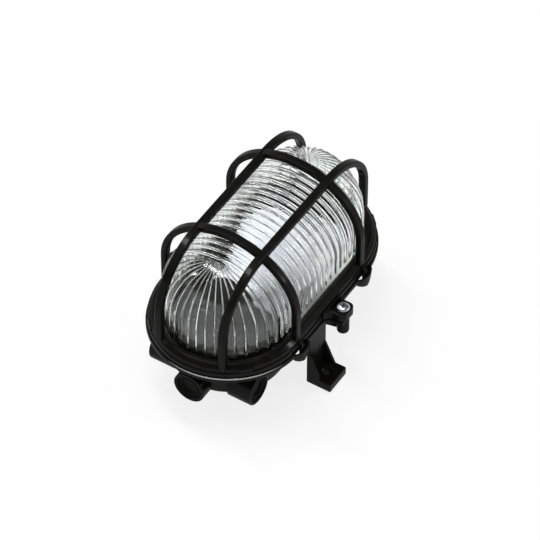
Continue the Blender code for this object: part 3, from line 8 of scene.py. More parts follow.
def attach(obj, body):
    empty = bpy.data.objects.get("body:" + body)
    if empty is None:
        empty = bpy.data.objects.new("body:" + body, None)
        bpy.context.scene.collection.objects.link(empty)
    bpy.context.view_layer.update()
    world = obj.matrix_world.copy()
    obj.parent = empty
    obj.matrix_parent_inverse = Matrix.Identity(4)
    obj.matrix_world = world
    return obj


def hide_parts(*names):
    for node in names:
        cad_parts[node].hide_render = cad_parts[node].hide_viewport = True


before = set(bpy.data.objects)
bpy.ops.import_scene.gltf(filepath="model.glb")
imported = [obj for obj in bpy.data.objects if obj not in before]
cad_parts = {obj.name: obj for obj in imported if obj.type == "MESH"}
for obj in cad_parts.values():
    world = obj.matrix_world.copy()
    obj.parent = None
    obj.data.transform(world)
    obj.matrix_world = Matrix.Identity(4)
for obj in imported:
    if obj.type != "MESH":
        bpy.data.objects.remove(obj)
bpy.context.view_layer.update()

# Studio: a pale floor that the light stands on, soft boxes round it, and a camera far off with a
# long lens, as for a catalogue. The surroundings look white, and the floor keeps a faint shadow.
scene = bpy.context.scene
scene.view_settings.view_transform = "Standard"
MM = 0.001
RIM = 52.8
CAMERA_AZIMUTH = radians(32.5)
CAMERA_ELEVATION = radians(47.4)
CAMERA_DISTANCE = 3.0
MM_PER_PIXEL = 0.72
PIXELS = 540
PIXELS_RIGHT, PIXELS_UP = 7.0, 6.9
SENSOR = 36.0
LIT_SPOT = (0, 0, 0.06)
FLOOR_REACH = 25.0


def aim_at(obj, spot):
    """Turn a lamp or the camera to face a spot."""
    away = obj.location - Vector(spot)
    obj.rotation_mode = "QUATERNION"
    obj.rotation_quaternion = away.to_track_quat("Z", "Y")


def place_camera():
    """Camera on its azimuth and elevation, with the light a little left of and below the middle."""
    back = Vector((
        sin(CAMERA_AZIMUTH) * cos(CAMERA_ELEVATION),
        -cos(CAMERA_AZIMUTH) * cos(CAMERA_ELEVATION),
        sin(CAMERA_ELEVATION),
    ))
    right = Vector((cos(CAMERA_AZIMUTH), sin(CAMERA_AZIMUTH), 0))
    up = back.cross(right)
    target = Vector((0, 0, RIM)) + (right * PIXELS_RIGHT + up * PIXELS_UP) * MM_PER_PIXEL
    data = bpy.data.cameras.new("camera")
    data.sensor_width = SENSOR
    data.lens = SENSOR * CAMERA_DISTANCE * 1000 / (PIXELS * MM_PER_PIXEL)
    data.clip_start, data.clip_end = 0.1, 60.0
    camera = bpy.data.objects.new("camera", data)
    camera.location = target * MM + back * CAMERA_DISTANCE
    scene.collection.objects.link(camera)
    aim_at(camera, target * MM)
    scene.camera = camera


def soft_box(name, place, size, watts):
    data = bpy.data.lights.new(name, "AREA")
    data.shape = "RECTANGLE"
    data.size, data.size_y = size
    data.energy = watts
    lamp = bpy.data.objects.new(name, data)
    lamp.location = place
    scene.collection.objects.link(lamp)
    aim_at(lamp, LIT_SPOT)


def feed(tree, value, socket):
    """Link a socket to a value from another node, or set it to a plain one."""
    if isinstance(value, bpy.types.NodeSocket):
        tree.links.new(value, socket)
    else:
        socket.default_value = value


def feed_all(tree, node, **inputs):
    for label, value in inputs.items():
        feed(tree, value, node.inputs[label.replace("_", " ")])


def add_node(tree, kind, **inputs):
    node = tree.nodes.new("ShaderNode" + kind)
    feed_all(tree, node, **inputs)
    return node


def maths(tree, operation, first, second):
    """A Math node on two links or numbers."""
    node = add_node(tree, "Math")
    node.operation = operation
    feed(tree, first, node.inputs[0])
    feed(tree, second, node.inputs[1])
    return node.outputs[0]


def spread(tree, value, low, high, out_low=0.0, out_high=1.0):
    """Map a range of a value to another range, clamped."""
    node = add_node(tree, "MapRange", Value=value, From_Min=low, From_Max=high,
                    To_Min=out_low, To_Max=out_high)
    return node.outputs["Result"]


def along_axis(tree, vector, axis):
    """One of the X, Y and Z parts of a vector."""
    return add_node(tree, "SeparateXYZ", Vector=vector).outputs[axis]


def mix_shaders(tree, share, first, second):
    mix = add_node(tree, "MixShader")
    for value, socket in zip((share, first.outputs[0], second.outputs[0]), mix.inputs):
        tree.links.new(value, socket)
    return mix.outputs[0]


def seen_rays(tree):
    """1 for rays of the camera, of gloss and through glass, which see the surroundings as white."""
    rays = add_node(tree, "LightPath").outputs
    seen = maths(tree, "MAXIMUM", rays["Is Camera Ray"], rays["Is Glossy Ray"])
    return maths(tree, "MAXIMUM", seen, rays["Is Transmission Ray"])


def light_world(strength, ceiling):
    """Even light from all round. Gloss and glass also see a dim ceiling over the white walls."""
    world = bpy.data.worlds.new("surroundings")
    scene.world = world
    world.use_nodes = True
    tree = world.node_tree
    tree.nodes.clear()
    lit = add_node(tree, "Background", Color=(1, 1, 1, 1), Strength=strength)
    height = along_axis(tree, add_node(tree, "TexCoord").outputs["Generated"], "Z")
    dim = spread(tree, height, 0.30, 0.48, 1.0, ceiling)
    dim.node.interpolation_type = "SMOOTHSTEP"
    camera_ray = add_node(tree, "LightPath").outputs["Is Camera Ray"]
    bright = maths(tree, "MAXIMUM", dim, camera_ray)
    seen = add_node(tree, "Background", Color=(1, 1, 1, 1), Strength=bright)
    out = add_node(tree, "OutputWorld")
    tree.links.new(mix_shaders(tree, seen_rays(tree), lit, seen), out.inputs[0])


def make_floor(tone, glow_share):
    """A wide matt floor that takes the shadow, with a share of plain white to keep it pale."""
    mesh = bpy.data.meshes.new("floor")
    signs = ((-1, -1), (1, -1), (1, 1), (-1, 1))
    corners = [(x * FLOOR_REACH, y * FLOOR_REACH, 0) for x, y in signs]
    mesh.from_pydata(corners, [], [(0, 1, 2, 3)])
    floor = bpy.data.objects.new("floor", mesh)
    scene.collection.objects.link(floor)
    material = bpy.data.materials.new("pale_floor")
    material.use_nodes = True
    tree = material.node_tree
    tree.nodes.clear()
    matt = add_node(tree, "BsdfDiffuse", Color=(tone, tone, tone, 1))
    glow = add_node(tree, "Emission")
    share = maths(tree, "MULTIPLY", seen_rays(tree), glow_share)
    out = add_node(tree, "OutputMaterial")
    tree.links.new(mix_shaders(tree, share, matt, glow), out.inputs[0])
    mesh.materials.append(material)


place_camera()
light_world(0.55, 0.15)
make_floor(0.86, 0.80)
soft_box("box_over", (-0.45, 0.12, 1.5), (0.22, 1.3), 14.0)
soft_box("box_left", (-1.3, -0.5, 0.9), (0.10, 0.9), 7.0)
soft_box("box_right", (1.2, 0.7, 0.8), (0.10, 0.8), 6.0)

# Base: one moulding in black glass-filled plastic. Its tray, rim flange, cable bosses, feet, hinge
# ears, pocket lugs and screw boss come out of one tool, with rounded corners and a fine grain.
SIDE_HALF = 45.5
END_STEPS = 48
RIM_RADIUS = 59.5
TRAY_TOP, TRAY_BOTTOM = 47.0, 43.2
FLANGE_UNDER = RIM - 4.3
TRAY_UNDER = RIM - 34.6
TRAY_FLOOR = TRAY_UNDER + 2.8
SEAT_GAP = 0.3
ENTRY_DROP = 26.6
LEG_FACE, LEG_WALL, LEG_RIB = 58.0, 2.6, 2.2
LEG_NEAR, LEG_FAR = 6.8, 28.8
FOOT_TOP, FOOT_END = 7.4, 75.6
FOOT_HOLE = (65.5, -17.8)
HINGE_X, HINGE_Y, HINGE_Z = -62.9, 21, 56.8
SCREW_X = 68
TONGUE_Y = 42.5
PILOT = 1.7
CLIP_ANGLES = (45, 135, 225, 315)
CLIP_REACH = 54.6
BRACKET_SCREWS = (9, -77.4)
BLOCK_SCREWS = (5, -53)
REFLECTOR_SCREWS_Y = (-7, 73)
SMOOTH = radians(38)


def rounded(corners, steps=3):
    """Outline with rounded corners: each is (a, b), or (a, b, radius) where it is rounded."""
    outline = []
    for i, corner in enumerate(corners):
        spot = Vector(corner[:2])
        if len(corner) < 3:
            outline.append(tuple(spot))
            continue
        before = Vector(corners[i - 1][:2]) - spot
        after = Vector(corners[(i + 1) % len(corners)][:2]) - spot
        reach = corner[2] / tan(before.angle(after) / 2)
        reach = min(reach, before.length * 0.49, after.length * 0.49)
        start, end = spot + before.normalized() * reach, spot + after.normalized() * reach
        for k in range(steps + 1):
            t = k / steps
            outline.append(tuple(start * (1 - t) ** 2 + spot * 2 * t * (1 - t) + end * t * t))
    return outline


def finish_shape(name, bm, smooth=SMOOTH):
    """Object in metres from a mesh in millimetres, with outward faces."""
    bmesh.ops.recalc_face_normals(bm, faces=bm.faces)
    mesh = bpy.data.meshes.new(name)
    bm.to_mesh(mesh)
    bm.free()
    mesh.transform(Matrix.Scale(MM, 4))
    mesh.shade_smooth()
    mesh.set_sharp_from_angle(angle=smooth)
    obj = bpy.data.objects.new(name, mesh)
    scene.collection.objects.link(obj)
    return obj


def skin(bm, low, high):
    """Faces between two rows of vertices, where a row may hold one vertex more than once."""
    for i in range(len(low)):
        j = (i + 1) % len(low)
        corners = []
        for vertex in (low[i], low[j], high[j], high[i]):
            if vertex not in corners:
                corners.append(vertex)
        if len(corners) > 2:
            bm.faces.new(corners)


def skinned(name, loops, closed=False):
    """Skin loops of points in order; the ends are capped, or joined to make a ring."""
    bm = bmesh.new()
    rows = [[bm.verts.new(point) for point in loop] for loop in loops]
    for low, high in zip(rows, rows[1:] + rows[:1] * closed):
        skin(bm, low, high)
    if not closed:
        bm.faces.new(rows[0][::-1])
        bm.faces.new(rows[-1])
    return finish_shape(name, bm)


def stadium_loop(radius, z):
    """Points of the light's oval: two half circles joined by straight sides along Y."""
    points = []
    for centre, start in ((SIDE_HALF, 0), (-SIDE_HALF, 180)):
        for i in range(END_STEPS + 1):
            angle = radians(start + 180 * i / END_STEPS)
            points.append((radius * cos(angle), centre + radius * sin(angle), z))
    return points


def oval_solid(name, outline):
    return skinned(name, [stadium_loop(radius, z) for radius, z in outline])


def oval_ring(name, outline):
    return skinned(name, [stadium_loop(radius, z) for radius, z in outline], closed=True)


def lathe(name, outline, segments):
    """Spin an outline of (radius, height) round Z; points at radius 0 become one vertex."""
    bm = bmesh.new()
    rows = []
    for radius, height in outline:
        if radius < 1e-6:
            rows.append([bm.verts.new((0, 0, height))] * segments)
            continue
        rows.append([
            bm.verts.new((radius * cos(2 * pi * i / segments),
                          radius * sin(2 * pi * i / segments), height))
            for i in range(segments)
        ])
    for low, high in zip(rows, rows[1:]):
        skin(bm, low, high)
    return finish_shape(name, bm)


def rod(name, radius, low, high, segments):
    """A plain cylinder along Z, for what is drilled."""
    return lathe(name, [(0, low), (radius, low), (radius, high), (0, high)], segments)


def slab(name, outline, low, high, axis="Z", edge=0.0):
    """Extrude an outline along Z, or an outline of (X, Z) along Y, and round its edges."""
    if axis == "Z":
        loops = [[(u, v, w) for u, v in outline] for w in (low, high)]
    else:
        loops = [[(u, w, v) for u, v in outline] for w in (low, high)]
    obj = skinned(name, loops)
    if edge:
        modifier = obj.modifiers.new("edges", "BEVEL")
        modifier.width = edge * MM
        modifier.segments = 2
        modifier.limit_method = "ANGLE"
        modifier.angle_limit = radians(40)
    return obj


def block(name, low, high, edge=0.0):
    outline = [(low[0], low[1]), (high[0], low[1]), (high[0], high[1]), (low[0], high[1])]
    return slab(name, outline, low[2], high[2], "Z", edge)


def put(obj, place, direction=(0, 0, 1)):
    """Move a shape made along Z to its place, and turn it to point along the direction."""
    turn = Vector(direction).to_track_quat("Z", "Y").to_matrix().to_4x4()
    obj.data.transform(Matrix.Translation(Vector(place) * MM) @ turn)
    return obj


def moulded(name, shape, stages):
    """Add and cut shapes in turn, as ("UNION" or "DIFFERENCE", shapes), and keep one clean mesh."""
    used = [shape]
    groups = []
    for number, (operation, others) in enumerate(stages):
        group = bpy.data.collections.new(f"{name}_{number}")
        groups.append(group)
        for other in others:
            group.objects.link(other)
        used += others
        modifier = shape.modifiers.new(operation, "BOOLEAN")
        modifier.operation = operation
        modifier.solver = "EXACT"
        modifier.operand_type = "COLLECTION"
        modifier.collection = group
    bpy.context.view_layer.update()
    graph = bpy.context.evaluated_depsgraph_get()
    mesh = bpy.data.meshes.new_from_object(shape.evaluated_get(graph))
    for group in groups:
        bpy.data.collections.remove(group)
    for other in used:
        bpy.data.objects.remove(other)
    bm = bmesh.new()
    bm.from_mesh(mesh)
    bmesh.ops.remove_doubles(bm, verts=bm.verts, dist=0.003 * MM)
    bmesh.ops.dissolve_degenerate(bm, edges=bm.edges, dist=0.001 * MM)
    bm.to_mesh(mesh)
    bm.free()
    mesh.name = name
    mesh.shade_smooth()
    mesh.set_sharp_from_angle(angle=SMOOTH)
    obj = bpy.data.objects.new(name, mesh)
    scene.collection.objects.link(obj)
    even = obj.modifiers.new("even_shading", "WEIGHTED_NORMAL")
    even.keep_sharp = True
    return obj


def group_of(name, inputs, outputs):
    """A node group with number inputs, as (label, value), and number outputs."""
    group = bpy.data.node_groups.new(name, "ShaderNodeTree")
    kind = "NodeSocketFloat"
    for label, value in inputs:
        socket = group.interface.new_socket(name=label, in_out="INPUT", socket_type=kind)
        socket.default_value = value
    for label in outputs:
        group.interface.new_socket(name=label, in_out="OUTPUT", socket_type=kind)
    given, result = group.nodes.new("NodeGroupInput"), group.nodes.new("NodeGroupOutput")
    return group, given.outputs, result


def noise(tree, vector, scale, detail, roughness=0.55):
    node = add_node(tree, "TexNoise", Vector=vector, Scale=scale, Detail=detail,
                    Roughness=roughness)
    return node.outputs["Fac"]


def build_grain_group():
    """Fine grain of a mould's surface, slow mottling, and dust on faces that look up."""
    group, given, result = group_of(
        "mould_grain", (("Grain Size", 0.0006), ("Mottle Size", 0.02)),
        ("Height", "Mottle", "Dust"))
    where = add_node(group, "TexCoord").outputs["Object"]
    fine = noise(group, where, maths(group, "DIVIDE", 1.0, given["Grain Size"]), 2.0)
    slow = noise(group, where, maths(group, "DIVIDE", 1.0, given["Mottle Size"]), 4.0, 0.6)
    cell_scale = maths(group, "DIVIDE", 0.7, given["Grain Size"])
    cells = add_node(group, "TexVoronoi", Vector=where, Scale=cell_scale).outputs["Distance"]
    height = maths(group, "ADD", fine, maths(group, "MULTIPLY", cells, 0.5))
    normal = add_node(group, "NewGeometry").outputs["Normal"]
    upward = spread(group, along_axis(group, normal, "Z"), 0.4, 1.0)
    specks = spread(group, noise(group, where, 900.0, 2.0), 0.56, 0.74)
    patchy = maths(group, "MULTIPLY", specks, spread(group, slow, 0.4, 0.7))
    dust = maths(group, "MULTIPLY", upward, patchy)
    feed_all(group, result, Height=height, Mottle=slow, Dust=dust)
    return group


mould_grain = build_grain_group()


def start_material(name, **values):
    """A material with its Principled shader; plain values are set on the shader's own sockets."""
    material = bpy.data.materials.new(name)
    material.use_nodes = True
    tree = material.node_tree
    shader = tree.nodes["Principled BSDF"]
    feed_all(tree, shader, **values)
    return material, tree, shader


def mix_colours(tree, share, first, second):
    node = add_node(tree, "Mix")
    node.data_type = "RGBA"
    feed(tree, share, node.inputs["Factor"])
    for socket, colour in zip(node.inputs[6:8], (first, second)):
        feed(tree, (*colour, 1.0) if isinstance(colour, tuple) else colour, socket)
    return node.outputs[2]


def use_group(tree, group, **inputs):
    node = add_node(tree, "Group")
    node.node_tree = group
    feed_all(tree, node, **inputs)
    return node.outputs


def dress(tree, shader, colour, gloss, relief, depth):
    """Lead colour, roughness and relief into a shader."""
    bump = add_node(tree, "Bump", Height=relief, Distance=depth, Strength=1.0)
    feed_all(tree, shader, Base_Color=colour, Roughness=gloss, Normal=bump.outputs["Normal"])


def two_tones(tree, patches, dark, light, rough):
    """A colour and a gloss that both change a little from patch to patch."""
    tones = mix_colours(tree, spread(tree, patches, 0.35, 0.65), dark, light)
    return tones, spread(tree, patches, 0.3, 0.7, *rough)


def grained(name, dark, light, dust, rough, grain, depth, **values):
    """Moulded material: two close tones, dust on top faces, grain in relief and in the gloss."""
    material, tree, shader = start_material(name, **values)
    surface = use_group(tree, mould_grain, Grain_Size=grain)
    tones, gloss = two_tones(tree, surface["Mottle"], dark, light, rough)
    dusty = mix_colours(tree, surface["Dust"], tones, dust)
    duller = maths(tree, "ADD", gloss, maths(tree, "MULTIPLY", surface["Dust"], 0.2))
    dress(tree, shader, dusty, duller, surface["Height"], depth)
    return material


def show(obj, body, nodes, material):
    """Give a piece its material and body, and say which CAD nodes it stands for."""
    obj.data.materials.clear()
    obj.data.materials.append(material)
    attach(obj, body)
    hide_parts(*nodes)


def painted_highlight_band(material, low, high, dull, bright):
    """Painted highlight: very glossy coat in a band between two heights, throwing back a bright
    line.

    It is on one corner of each end: the reach along the highlight's way tells how near a spot is to
    it.
    """
    tree = material.node_tree
    where = add_node(tree, "TexCoord").outputs["Object"]
    height = along_axis(tree, where, "Z")
    above = maths(tree, "GREATER_THAN", height, low * MM)
    below = maths(tree, "LESS_THAN", height, high * MM)
    band = maths(tree, "MULTIPLY", above, below)
    across = maths(tree, "MULTIPLY", along_axis(tree, where, "X"), HIGHLIGHT_WAY[0])
    along = maths(tree, "MULTIPLY", along_axis(tree, where, "Y"), HIGHLIGHT_WAY[1])
    reach = maths(tree, "ABSOLUTE", maths(tree, "ADD", across, along), 0.0)
    corner = spread(tree, reach, HIGHLIGHT_FADE[0] * MM, HIGHLIGHT_FADE[1] * MM)
    gloss = spread(tree, maths(tree, "MULTIPLY", band, corner), 0.0, 1.0, dull, bright)
    feed_all(tree, tree.nodes["Principled BSDF"], Coat_Weight=gloss)


# Painted highlight: the base rim's band of very glossy coat, with a coat IOR of 4, fades out away
# from one corner of each end.
HIGHLIGHT_WAY = (0.5, -0.87)
HIGHLIGHT_FADE = (SIDE_HALF + 37, SIDE_HALF + 50)
black_plastic = grained(
    "black_moulding", (0.0035, 0.0032, 0.0030), (0.0062, 0.0056, 0.0052), (0.020, 0.019, 0.018),
    (0.28, 0.38), 0.0005, 0.00002, Specular_IOR_Level=0.03, Coat_Roughness=0.10, Coat_IOR=4.0)
painted_highlight_band(black_plastic, RIM - 1.15, RIM - 0.25, 0.015, 1.0)


def entry_places():
    """Middle of each cable entry's face, and the way that it points."""
    height = RIM - ENTRY_DROP
    return (
        ("end", Vector((0, -98.6, height)), Vector((0, -1, 0))),
        ("left", Vector((-42.8, -72.7, height)), Vector((-1, 0, 0))),
        ("right", Vector((42.8, -72.7, height)), Vector((1, 0, 0))),
    )


def leg_shapes(side):
    """Panel, foot plate, gussets and braces of one leg; the other leg is half a turn round."""
    inner, under = LEG_FACE - LEG_WALL, RIM - 2.2
    span = sorted((-side * LEG_FAR, -side * LEG_NEAR))

    def upright(name, reach, low, high, edge):
        xs = sorted((side * inner, side * reach))
        return block(name, (xs[0], span[0], low), (xs[1], span[1], high), edge)

    shapes = [upright("panel", LEG_FACE, 0.4, under, 0.5),
              upright("foot", FOOT_END, 0, FOOT_TOP, 0.9)]
    root = side * 56.7
    gusset = [(root, RIM - 25.9), (side * LEG_FACE, RIM - 25.9), (side * 66.7, FOOT_TOP),
              (side * 66.7, 6.0), (root, 6.0)]
    brace = [(root, under), (root, RIM - 20), (side * 44.4, RIM - 10), (side * 44.4, under)]
    for edge in (span[0] + 0.2, span[1] - 0.2 - LEG_RIB):
        shapes.append(slab("gusset", gusset, edge, edge + LEG_RIB, "Y", 0.35))
        shapes.append(slab("brace", brace, edge, edge + LEG_RIB, "Y", 0.3))
    return shapes


LUG_TAPER = ((0.26, 0.0), (0.40, 0.03), (0.54, 0.10), (0.70, 0.24), (0.87, 0.52), (1.0, 1.0))


def lug(name, y, out, half, top, bottom, back):
    """Tapered half-oval lug on the closing side of the rim."""
    inside = RIM_RADIUS - back
    loops = []
    for share, rise in LUG_TAPER:
        loop = []
        for i in range(29):
            angle = radians(-90 + 180 * i / 28)
            reach = (RIM_RADIUS + out - inside) * (0.72 + 0.28 * share)
            loop.append((inside + reach * cos(angle), y + half * share * sin(angle),
                         bottom + (top - bottom) * rise))
        loops.append(loop)
    return skinned(name, loops)


def on_arc(degrees, radius):
    """A point on the oval's end arcs, at an angle round the nearer arc's centre."""
    angle = radians(degrees)
    centre = copysign(SIDE_HALF, sin(angle))
    return Vector((radius * cos(angle), centre + radius * sin(angle), 0))


def screw_posts():
    """Posts on the tray's floor for bracket, block and reflector, and the pilot holes in them."""
    places = [(side * x, y, TRAY_FLOOR + 4.0)
              for x, y in (BRACKET_SCREWS, BLOCK_SCREWS) for side in (-1, 1)]
    places += [(0, y, RIM - 18.3) for y in REFLECTOR_SCREWS_Y]
    posts, pilots = [], []
    for x, y, top in places:
        foot = TRAY_FLOOR - 1.4
        outline = rounded([(0, foot), (3.6, foot), (3.6, top, 0.3), (0, top)])
        posts.append(put(lathe("post", outline, 28), (x, y, 0)))
        pilots.append(put(rod("pilot", PILOT, top - 5.5, top + 1, 20), (x, y, 0)))
    return posts, pilots


def make_housing():
    top = RIM - SEAT_GAP
    tray = rounded([
        (0.001, TRAY_UNDER), (TRAY_BOTTOM, TRAY_UNDER, 5.0), (TRAY_TOP, FLANGE_UNDER, 1.2),
        (RIM_RADIUS, FLANGE_UNDER, 0.8), (RIM_RADIUS, top - 0.8, 0.1),
        (RIM_RADIUS - 0.4, top, 0.1), (0.001, top)], 5)
    added, removed = [], []
    boss = rounded([(0, -19), (12.6, -19), (12.6, 0, 0.9), (11.2, 0, 0.4), (11.0, -0.6, 0.2),
                    (0, -0.6)])
    bore = rounded([(0, -14.5), (10.0, -14.5), (10.0, -0.9), (10.7, 0.2), (10.7, 1.0), (0, 1.0)])
    for _, face, out in entry_places():
        added.append(put(lathe("boss", boss, 56), face, out))
        removed.append(put(lathe("bore", bore, 56), face, out))
    foot_hole = [(0, -1), (2.6, -1), (2.6, 6.4), (4.0, FOOT_TOP + 0.4), (0, FOOT_TOP + 0.4)]
    ear = rounded([
        (-57.1, 48.7), (-57.1, 52.3), (-59.8, 52.3), (-59.8, HINGE_Z, 2.9), (-62.0, 59.9, 1.2),
        (-66.0, 59.1, 0.25), (-66.0, 52.8, 0.8), (-64.4, 48.5, 0.8)], 6)
    for side in (1, -1):
        added += leg_shapes(side)
        spot = (side * FOOT_HOLE[0], side * FOOT_HOLE[1], 0)
        removed.append(put(lathe("foot_hole", foot_hole, 32), spot))
        added.append(slab("hinge_ear", ear, side * HINGE_Y - 2.1, side * HINGE_Y + 2.1, "Y", 0.25))
        pin_hole = rod("pin_hole", PILOT, -4.2, 4.2, 24)
        removed.append(put(pin_hole, (HINGE_X, side * HINGE_Y, HINGE_Z), (0, 1, 0)))
        added.append(lug("lug", side * TONGUE_Y, 4.1, 9.7, top - 0.2, RIM - 11.5, 1.9))
        removed.append(lug("lug_pocket", side * TONGUE_Y, 2.7, 8.3, RIM + 1, RIM - 10.1, 2.1))
    added.append(block("screw_ear", (56.7, -7.4, FLANGE_UNDER + 0.2), (72.0, 7.4, top - 0.2), 0.7))
    boss = rounded([(0, RIM - 16.5), (4.6, RIM - 16.5, 2.3), (4.6, top - 0.4), (0, top - 0.4)], 5)
    added.append(put(lathe("screw_boss", boss, 40), (SCREW_X, 0, 0)))
    web_top = FLANGE_UNDER + 1
    web = [(46, web_top), (SCREW_X, web_top), (SCREW_X, RIM - 14.2), (46, RIM - 20)]
    added.append(slab("screw_web", web, -0.85, 0.85, "Y"))
    cavity = rounded([
        (0.001, TRAY_FLOOR), (40.4, TRAY_FLOOR, 2.5), (42.6, RIM + 1), (0.001, RIM + 1)], 4)
    removed.append(oval_solid("cavity", cavity[1:-1]))
    groove = [(44.7, RIM - 2), (49.5, RIM - 2), (49.5, RIM + 1), (44.7, RIM + 1)]
    removed.append(oval_ring("groove", groove))
    for degrees in CLIP_ANGLES:
        pocket = rod("clip_pocket", 3.2, RIM - 2.8, RIM + 1, 24)
        removed.append(put(pocket, on_arc(degrees, CLIP_REACH)))
    removed.append(put(rod("insert_hole", 3.4, RIM - 12.2, RIM + 1, 32), (SCREW_X, 0, 0)))
    posts, pilots = screw_posts()
    return moulded("housing_moulding", oval_solid("housing", tray[1:-1]), [
        ("UNION", added), ("DIFFERENCE", removed), ("UNION", posts), ("DIFFERENCE", pilots)])


show(make_housing(), "base", ["base_housing"], black_plastic)

# Gasket: a flat ring cut or moulded in dark rubber. It lies loose in the groove of the base, and
# the foot of the glass presses on it when the guard is screwed down.
rubber = grained("gasket_rubber", (0.030, 0.029, 0.028), (0.048, 0.047, 0.045), (0.11, 0.10, 0.095),
                 (0.62, 0.78), 0.0008, 0.00004, Specular_IOR_Level=0.3)
gasket = oval_ring("gasket_ring", rounded([
    (45.0, RIM - 1.7, 0.3), (49.2, RIM - 1.7, 0.3),
    (49.2, RIM + 1.7, 1.05), (45.0, RIM + 1.7, 1.05)], 4))
show(gasket, "base", ["base_gasket"], rubber)

# Guard: a second black moulding. A hollow-backed ring carries two hoops across and two bars along,
# and has hinge cheeks on one side, and a screw ear and two locating tongues on the other.
GUARD_STEPS = 40
ARCH_FOOT, ARCH_SPRING = RIM + 6.9, RIM + 32.4
HOOP_HALF, HOOP_RISE, HOOP_Y = 55.1, 49.3, 42.8
BAR_X, BAR_REACH = 26.4, 48.6
BAR_SECTION = rounded([
    (3.05, 2.5, 1.3), (-3.05, 2.5, 1.3), (-3.05, -2.5, 1.0), (3.05, -2.5, 1.0)])
GUARD_RING = rounded([
    (58.4, RIM, 0.3), (58.5, RIM + 3.8, 0.5), (57.5, RIM + 4.2, 0.3), (57.4, RIM + 7.5, 0.7),
    (54.4, RIM + 9.9, 0.6), (52.6, RIM + 10.2, 0.6), (49.0, RIM + 8.0, 0.3), (49.0, RIM + 5.9),
    (52.8, RIM + 5.9), (52.8, RIM, 0.2),
    (55.2, RIM, 0.2), (55.2, RIM + 6.6), (57.1, RIM + 6.6), (57.1, RIM, 0.2)])


def swept(name, path, across):
    """Carry the section of a hoop or bar along a path in a plane; across is the plane's normal."""
    loops = []
    for i, point in enumerate(path):
        before, after = path[max(i - 1, 0)], path[min(i + 1, len(path) - 1)]
        outward = (after - before).cross(across).normalized()
        loops.append([point + across * u + outward * v for u, v in BAR_SECTION])
    return skinned(name, loops)


def hoop_path(y):
    path = [Vector((HOOP_HALF, y, ARCH_FOOT))]
    for i in range(GUARD_STEPS + 1):
        angle = pi * i / GUARD_STEPS
        height = ARCH_SPRING + HOOP_RISE * sin(angle)
        path.append(Vector((HOOP_HALF * cos(angle), y, height)))
    path.append(Vector((-HOOP_HALF, y, ARCH_FOOT)))
    return path


def bar_path(x):
    """Path of a bar, which lies in the hoops where it crosses them and bends down at both ends."""
    rise = HOOP_RISE * sqrt(1 - (x / HOOP_HALF) ** 2)
    steps = GUARD_STEPS // 2
    end = [Vector((x, SIDE_HALF + BAR_REACH, ARCH_FOOT))]
    for i in range(steps + 1):
        angle = pi / 2 * i / steps
        height = ARCH_SPRING + rise * sin(angle)
        end.append(Vector((x, SIDE_HALF + BAR_REACH * cos(angle), height)))
    return end + [Vector((x, -point.y, point.z)) for point in reversed(end)]


def on_ring(degrees, shape):
    """Move a shape made along +X from an arc's centre to its place on the ring."""
    turn = Matrix.Rotation(radians(degrees), 4, "Z")
    shape.data.transform(Matrix.Translation(on_arc(degrees, 0) * MM) @ turn)
    return shape


def ear_outline():
    """Outline of the screw ear: it flares out of the ring and ends in two rounded corners."""
    half = [(58.3, 12.6)]
    quarter = [pi / 2 * i / 12 for i in range(13)]
    half += [(64.5 - 5 * cos(angle), 12.6 - 5 * sin(angle)) for angle in quarter]
    half += [(69.4 + 4 * sin(angle), 3.6 + 4 * cos(angle)) for angle in quarter]
    return [(x, -y) for x, y in half] + half[::-1]


def make_guard():
    added, removed = [], []
    cheek = [(-58.3, 53.7), (-58.3, 59.5)]
    for i in range(21):
        angle = radians(90 + 180 * i / 20)
        cheek.append((HINGE_X + 3.1 * cos(angle), HINGE_Z + 3.1 * sin(angle)))
    tongue = rounded([
        (58.3, RIM + 5.9), (58.3, RIM - 7.6), (60.64, RIM - 7.6, 0.5), (61.4, RIM - 5.7),
        (61.4, RIM + 3.45, 0.8)])
    for side in (-1, 1):
        added.append(swept("hoop", hoop_path(side * HOOP_Y), Vector((0, 1, 0))))
        added.append(swept("bar", bar_path(side * BAR_X), Vector((1, 0, 0))))
        for flank in (-1, 1):
            middle = side * HINGE_Y + flank * 4.15
            added.append(slab("cheek", cheek, middle - 1.75, middle + 1.75, "Y", 0.3))
        hole = rod("pin_hole", PILOT, -8.6, 8.6, 24)
        removed.append(put(hole, (HINGE_X, side * HINGE_Y, HINGE_Z), (0, 1, 0)))
        added.append(slab("tongue", tongue, side * TONGUE_Y - 1.5, side * TONGUE_Y + 1.5, "Y", 0.3))
    added.append(slab("ear", ear_outline(), RIM + 0.2, RIM + 7.0, "Z", 0.6))
    for degrees in CLIP_ANGLES:
        boss = block("clip_boss", (54.2, -5, RIM + 1.85), (58.1, 5, RIM + 7.1))
        notch = block("clip_notch", (51.8, -5, RIM - 1), (55.7, 5, RIM + 1.85))
        hole = put(rod("clip_hole", 1.5, 0.85, 6.85, 20), (CLIP_REACH, 0, RIM))
        added.append(on_ring(degrees, boss))
        removed += [on_ring(degrees, notch), on_ring(degrees, hole)]
    pocket = rounded([(59.7, -5.9), (64.4, -5.9, 2), (64.4, 5.9, 2), (59.7, 5.9)], 5)
    removed.append(slab("ear_pocket", pocket, RIM + 3.6, RIM + 8.2))
    seat = rounded([(0, RIM + 1.2), (5.4, RIM + 1.2), (5.4, RIM + 7.2, 0.5), (0, RIM + 7.2)])
    seat_pad = put(lathe("screw_seat", seat, 40), (SCREW_X, 0, 0))
    screw_hole = [(0, RIM - 1), (4.4, RIM - 1), (4.4, RIM + 1.9), (2.3, RIM + 1.9),
                  (2.3, RIM + 8.2), (0, RIM + 8.2)]
    bore = put(lathe("screw_hole", screw_hole, 32), (SCREW_X, 0, 0))
    return moulded("guard_moulding", oval_ring("ring", GUARD_RING), [
        ("UNION", added), ("DIFFERENCE", removed), ("UNION", [seat_pad]), ("DIFFERENCE", [bore])])


show(make_guard(), "guard", ["guard_frame"], black_plastic)

